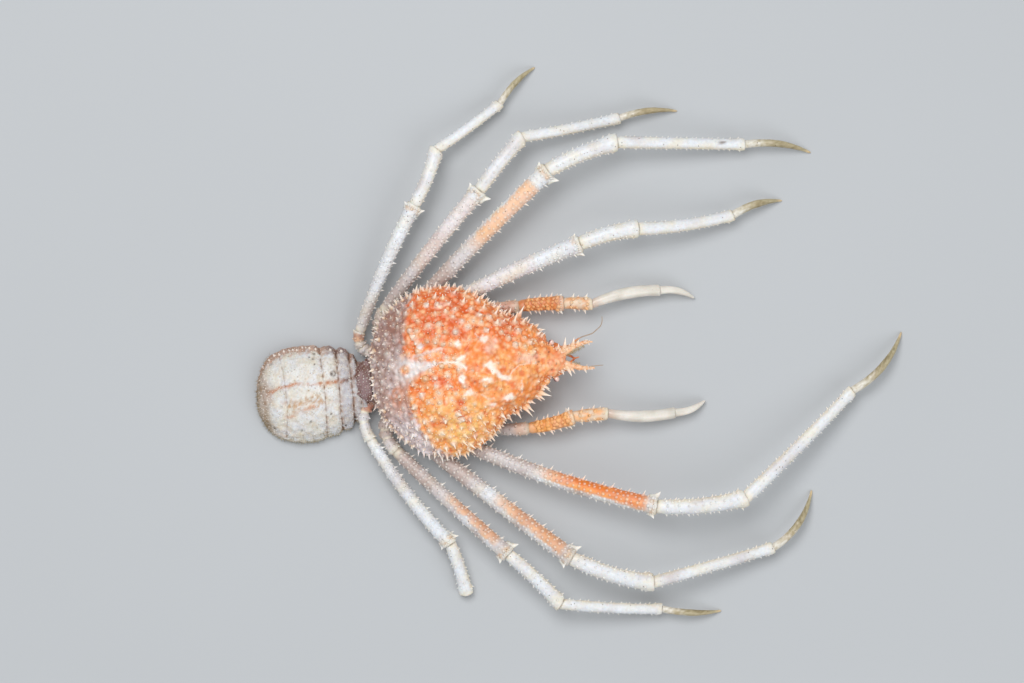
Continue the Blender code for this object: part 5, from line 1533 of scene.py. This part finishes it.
def tailRoot():
    rows = np.array(pleon["root"])
    x = np.linspace(rows[0, 0], rows[-1, 0], pleon["rootRings"])
    middle, half, low, high = (np.interp(x, rows[:, 0], rows[:, column]) for column in (1, 2, 3, 4))

    def place(ring, across, up):
        swell = 1 + 0.03 * math.sin(ring * 1.3)
        z = between(low[ring], high[ring], 0.5 + 0.5 * math.copysign(abs(up) ** 0.8, up))
        return Vector((x[ring], middle[ring] + half[ring] * across * swell, z))

    root = sleeve(len(x), pleon["rootSides"], place)
    points = root["points"]
    root["points"] = points + root["normals"] * (0.22 * ripple(points, 1.8, 59))[:, None]
    tone = 0.2 + 0.9 * spot(points, -32, -3.5, 3.5, 4.5) + 0.4 * ripple(points, 2.4, 58)
    root["tint"] = brush(inks["rootBrown"], "rootLilac", tone)
    refreshNormals(root)
    return root


def rootKnobs(root, draw):
    high = np.flatnonzero(root["normals"][:, 2] > 0.1)
    knobs = high[scatter(root["points"][high], np.full(len(high), 0.85), 57)]
    count = len(knobs)
    ground = root["tint"][knobs]
    lengths = draw.uniform(0.15, 0.5, count)
    widths = draw.uniform(0.2, 0.38, count)
    tip = brush(ground, "white", draw.uniform(0.1, 0.8, count))
    return grow("granule", root["points"][knobs], root["normals"][knobs] + (-0.3, 0, 0), lengths, widths,
                ground, tip, 56)


def rimHairs(plate, draw):
    # Short hairs along the rear and right rims
    points, normals, first = (plate[key] for key in ("points", "normals", "first"))
    behind = (first[:, 0] < -64) | (first[:, 1] < -17.5)
    rim = np.flatnonzero((np.abs(normals[:, 2]) < 0.5) & (points[:, 2] > 0.8) & behind)
    rim = rim[scatter(points[rim], np.full(len(rim), 0.75), 55)]
    around = np.arctan2(points[rim, 1] + 4.0, points[rim, 0] + 52.0)
    aims = normals[rim] + draw.uniform(-0.4, 0.4, (len(rim), 3)) * (1, 1, 0.5)
    unwrap = np.stack([0.5 + 0.14 * around, 0.6 + 0.01 * points[rim, 2]], 1)
    addSetae(points[rim], aims, draw.uniform(0.4, 1.3, len(rim)), 0.06, inks["rimHair"], inks["rimHairTip"],
             unwrap, 54)


def tailForms(plate, draw):
    # Granules all over the plate, the cones of its left half and the tooth at its root
    points, normals = plate["points"], plate["normals"]
    pick = np.flatnonzero((normals[:, 2] > -0.1) & (points[:, 2] > 1.0) & (plate["gap"] > 0.35))
    chosen = pick[scatter(points[pick], np.where(ripple(points[pick], 5.0, 67) > -0.3, 0.72, 1.2), 68)]
    count = len(chosen)
    ground = plate["tint"][chosen]
    lengths = draw.uniform(0.1, 0.3, count)
    widths = draw.uniform(0.15, 0.28, count)
    pale = mixInk(inks["white"], inks["grainTan"], draw.uniform(0, 1, count) < 0.2)
    share = np.clip(draw.uniform(0.2, 0.9, count) + 0.3 * (plate["first"][chosen, 0] < -64), 0, 1)
    grains = grow("granule", points[chosen], normals[chosen] + (0.2, 0, 0), lengths, widths,
                  brush(ground, "white", 0.1), mixInk(ground, pale, share), 69)
    cones = np.array(pleon["cones"])
    apart = ((points[:, None, :2] - cones[None]) ** 2).sum(2) + 100.0 * (normals[:, 2:3] < 0)
    spots = apart.argmin(0)
    lengths = draw.uniform(0.5, 0.8, len(cones))
    widths = draw.uniform(0.34, 0.5, len(cones))
    teeth = grow("tubercle", points[spots], normals[spots] + (-0.2, 0.3, 0.2), lengths, widths,
                 brush(plate["tint"][spots], "white", 0.4), inks["white"], 58)
    tooth = grow("spine", np.array([pleon["tooth"]]), np.array([(-0.6, 0.3, 1.0)]), 1.2, 0.5,
                 inks["toothPink"], inks["white"], 53)
    return grains, teeth, tooth


def makePleon():
    plate = tailPlate()
    root = tailRoot()
    draw = np.random.default_rng(66)
    knobs = rootKnobs(root, draw)
    rimHairs(plate, draw)
    skin = joinSkins(plate, root, knobs, *tailForms(plate, draw))
    print("tail plate:", int((skin["sizes"] - 2).sum()), "triangles")
    return makePiece("tail", skin, tailPaint,
                     ("pleon_root", "pleon_front", "pleon_rear", "telson"))


makePleon()

# Eyes: a glossy ball on a short stalk; where the stalk leaves the shell, where the ball is
eyes = {
    1: {"root": (32.6, 3.8, 16.4), "ball": (34.3, 5.6, 17.0)},
    -1: {"root": (33.0, -5.4, 16.4), "ball": (34.9, -7.3, 17.0)},
}
eyeRadius = 1.0


def makeEye(side):
    root, centre = np.array(eyes[side]["root"]), np.array(eyes[side]["ball"])
    along = unit(centre - root)
    turns = np.radians((-50, -38, -24, -10, 5, 20, 35, 50, 65, 78, 87))
    path = [root, between(root, centre, 0.3)]
    path += [centre + along * eyeRadius * math.sin(turn) for turn in turns]
    radii = [0.8, 0.7] + [eyeRadius * math.cos(turn) for turn in turns]
    skin = pipe(np.array(path), radii, 28)
    share = (skin["points"] - centre) @ along / eyeRadius
    tint = brush(inks["peach"], "eyePink", ease((share + 0.7) / 0.4))
    dark = ease(((skin["points"] - centre) @ (-0.75, 0.5 * side, 0.0) / eyeRadius - 0.3) / 0.3)
    skin["tint"] = brush(tint, "eyePlum", 0.9 * dark)
    return dress("eye_left" if side > 0 else "eye_right", skin, eyePaint)


# Small forked feelers between the horns: points and radius of each prong
antennules = (((39.0, 1.0, 15.9), (40.6, 0.2, 16.3), (41.8, -0.6, 16.6), (43.4, -0.4, 16.8)),
              ((39.6, -2.4, 15.9), (40.7, -1.7, 16.3), (41.8, -0.8, 16.6), (42.6, -0.6, 16.8)))


def makeAntennules():
    prongs = []
    for points in antennules:
        path = curveThrough(points, 26)
        share = np.linspace(0, 1, 26)
        skin = pipe(path, between(0.5, 0.16, share ** 1.5), 10)
        skin["tint"] = brush(inks["rust"], "prongOrange", 0.5 + 0.5 * ripple(skin["points"], 1.5, 48))
        prongs.append(skin)
    return makePiece("antennules", joinSkins(*prongs), feelerPaint)


# Feelers: points they pass through, thick jointed base, then a fine ringed whip
antennae = {
    "antenna_left": ((32.3, 5.4, 13.5), (36.5, 3.7, 13.8), (40.5, 3.8, 14.4), (42.7, 5.3, 14.9),
                     (44.9, 6.4, 15.3), (48.6, 7.3, 15.8), (50.3, 8.4, 16.1), (51.9, 9.7, 16.2),
                     (52.6, 11.4, 16.2), (52.7, 13.0, 16.2)),
    "antenna_right": ((32.3, -5.4, 13.5), (36.5, -4.6, 13.8), (41.0, -4.3, 14.4), (45.0, -4.2, 15.0),
                      (48.4, -4.0, 15.6), (51.6, -4.0, 15.8)),
}


def makeAntenna(name, points):
    count = 150
    path = curveThrough(points, count)
    share = np.linspace(0, 1, count)
    radius = np.interp(share, (0, 0.36, 0.42, 1), (0.62, 0.42, 0.22, 0.15))
    for joint in (0.18, 0.36):
        radius = radius * (1 - 0.3 * np.exp(-((share - joint) / 0.012) ** 2))
    radius = radius * (1 + 0.09 * np.where(share > 0.43, (-1.0) ** np.arange(count), 0))
    radius[-3:] *= (0.9, 0.7, 0.3)
    skin = pipe(path, radius, 10)
    tint = brush(inks["feelerTan"], "whipGrey", ease((skin["share"] - 0.36) / 0.1))
    skin["tint"] = brush(tint, "brown", 0.3 * (skin["ring"] % 2) * (skin["share"] > 0.43))
    return dress(name, skin, feelerPaint)


makeAntennules()
makePiece("setae", joinSkins(*setae), feelerPaint)
for side in (-1, 1):
    makeEye(side)
for name, points in antennae.items():
    makeAntenna(name, points)

# Breastplate: outline, then rings of (height, scale) from its top over the edge to the middle of its floor
breast = {
    "front": (10.0, 5.0),
    "centre": -10.0,
    "levels": ((11.2, 0.7), (11.2, 1.0), (9.0, 1.0), (6.0, 1.0), (3.4, 0.985), (2.2, 0.94), (1.2, 0.86),
               (0.5, 0.76), (0.15, 0.66), (0.05, 0.54), (0.05, 0.4), (0.05, 0.25), (0.05, 0.1)),
    "sides": 140,
}


def makeBreastplate():
    half = [breast["front"], *limbForm["roots"]]
    outline = np.array(half + [(x, -y) for x, y in reversed(half)])
    count = breast["sides"]
    closed = np.concatenate([outline, outline[:1]])
    steps = np.concatenate([[0], np.cumsum(np.linalg.norm(np.diff(closed, axis=0), axis=1))])
    places = np.linspace(0, steps[-1], count, endpoint=False)
    rim = np.stack([np.interp(places, steps, closed[:, axis]) for axis in (0, 1)], 1)
    for _ in range(3):
        rim = (np.roll(rim, 1, 0) + rim * 2 + np.roll(rim, -1, 0)) / 4

    def place(ring, across, up):
        corner = rim[round(math.atan2(-across, up) / math.tau * count) % count]
        z, scale = breast["levels"][ring]
        return Vector((between(breast["centre"], corner[0], scale), corner[1] * scale, z))

    skin = sleeve(len(breast["levels"]), count, place)
    points = skin["points"]
    push = 0.12 * ripple(points, 3.0, 71)
    for side in (-1, 1):
        for x, y in limbForm["roots"][1:]:
            seam = ((x, side * y), (x * 0.75 - 2.5, side * y * 0.3))
            push -= 0.6 * np.exp(-(offLine(points, seam) / 0.5) ** 2)
    push -= 0.6 * np.exp(-(points[:, 1] / 0.6) ** 2)
    low = ease((9 - points[:, 2]) / 3)
    skin["points"] = points + skin["normals"] * (push * low)[:, None]
    liftTo(skin, 0.0)
    tint = brush(inks["cream"], "rose", 0.4 + 0.5 * ripple(points, 6.0, 72) - 1.5 * push)
    skin["tint"] = brush(tint, "paleOrange", 0.3 * ease((points[:, 0] - 2) / 8))
    return makePiece("breastplate", skin, bellyPaint, ("sternum",))


# Mouthparts: x, y, z, then half lengths of the rounded pieces of one side
mouth = {
    "pieces": ((14.6, 3.5, 6.4, 4.6, 3.1, 2.2), (21.4, 3.7, 6.2, 3.4, 3.2, 2.0),
               (18.0, 7.2, 6.8, 6.6, 0.75, 1.8), (24.4, 2.7, 5.6, 1.6, 1.1, 1.3),
               (24.9, 1.3, 4.9, 1.1, 1.2, 1.5), (24.0, 5.5, 7.4, 2.4, 1.6, 2.4),
               (12.0, 5.4, 8.4, 2.0, 1.9, 2.4), (18.5, 3.5, 9.2, 8.4, 3.9, 1.9)),
    "voxel": 0.3,
}


def makeMouth():
    parts = [ball(x, side * y, z, *sizes) for side in (-1, 1) for x, y, z, *sizes in mouth["pieces"]]
    skin = meltTogether(parts, mouth["voxel"], 3)
    refreshNormals(skin)
    points = skin["points"]
    skin["points"] = points + skin["normals"] * (0.08 * ripple(points, 1.6, 73))[:, None]
    tint = brush(inks["cream"], "paleOrange", 0.3 + 0.5 * ripple(points, 4.0, 74), 0.8)
    skin["tint"] = tint
    refreshNormals(skin)
    pick = np.flatnonzero(skin["normals"][:, 2] < 0.2)
    chosen = pick[scatter(points[pick], np.full(len(pick), 0.95), 75)]
    ground = tint[chosen]
    grains = grow("granule", skin["points"][chosen], skin["normals"][chosen], 0.25, 0.22, ground,
                  brush(ground, "white", 0.5), 76)
    return makePiece("mouth", joinSkins(skin, grains), bellyPaint, ("mouthparts",))


makeBreastplate()
makeMouth()
print("eyes, feelers, breastplate and mouthparts done")

# Stage, light and camera
stage = {
    "floorSize": 6.0,
    "floorInk": ink(188, 191, 194),
    "photoMiddle": (20.7, 7.2),  # millimetres, what the middle of the picture looks at
    "photoWidth": 358.4,  # millimetres across the picture at the height below
    "photoHeight": 8.0,
    "roll": -5.5,  # degrees
    "distance": 1.5,
    "sensor": 36.0,
    # Lamps, in metres: place, size, power, colour
    "lamps": {"softbox": ((-0.2, 0.36, 1.08), 0.75, 8.7, (1, 1, 1)),
              "fill": ((0.5, -0.6, 0.85), 0.9, 3.9, (0.97, 0.99, 1))},
    "air": (0.96, 0.98, 1.0, 1), "airStrength": 0.42,
}


def makeStage():
    shape = bmesh.new()
    bmesh.ops.create_grid(shape, x_segments=1, y_segments=1, size=stage["floorSize"] / 2)
    mesh = bpy.data.meshes.new("floor")
    shape.to_mesh(mesh)
    shape.free()
    floor = addObject("floor", mesh)
    material = bpy.data.materials.new("floorPaint")
    material.use_nodes = True
    tree = material.node_tree
    place = addNode(tree, "TexCoord").outputs["Object"]
    noise = addNode(tree, "TexNoise", {"Vector": place, "Scale": 6.0, "Detail": 3.0}).outputs[0]
    pale = stage["floorInk"][:3]
    colour = mixColour(tree, noise, (*pale, 1), (*(0.95 * pale), 1))
    shader = tree.nodes["Principled BSDF"]
    tree.links.new(colour, shader.inputs["Base Color"])
    shader.inputs["Roughness"].default_value = 0.85
    mesh.materials.append(material)


def addLamp(name, place, size, power, colour):
    light = bpy.data.lights.new(name, "AREA")
    light.shape = "DISK"
    light.size = size
    light.energy = power
    light.color = colour
    lamp = addObject(name, light)
    lamp.location = place
    lamp.rotation_euler = (-Vector(place)).to_track_quat("-Z", "Y").to_euler()


def makeLight():
    world = bpy.data.worlds.new("studio")
    world.use_nodes = True
    air = world.node_tree.nodes["Background"].inputs
    air["Color"].default_value = stage["air"]
    air["Strength"].default_value = stage["airStrength"]
    bpy.context.scene.world = world
    for name, lamp in stage["lamps"].items():
        addLamp(name, *lamp)
    bpy.context.scene.view_settings.view_transform = "Standard"


def makeCamera():
    x, y = stage["photoMiddle"]
    target = home + Vector((x, y, stage["photoHeight"])) * millimetre
    data = bpy.data.cameras.new("camera")
    data.sensor_width = stage["sensor"]
    data.lens = stage["sensor"] * stage["distance"] / (stage["photoWidth"] * millimetre)
    camera = addObject("camera", data)
    camera.location = target + Vector((0, 0, stage["distance"]))
    camera.rotation_euler = (0, 0, math.radians(stage["roll"]))
    bpy.context.scene.camera = camera


makeStage()
makeLight()
makeCamera()
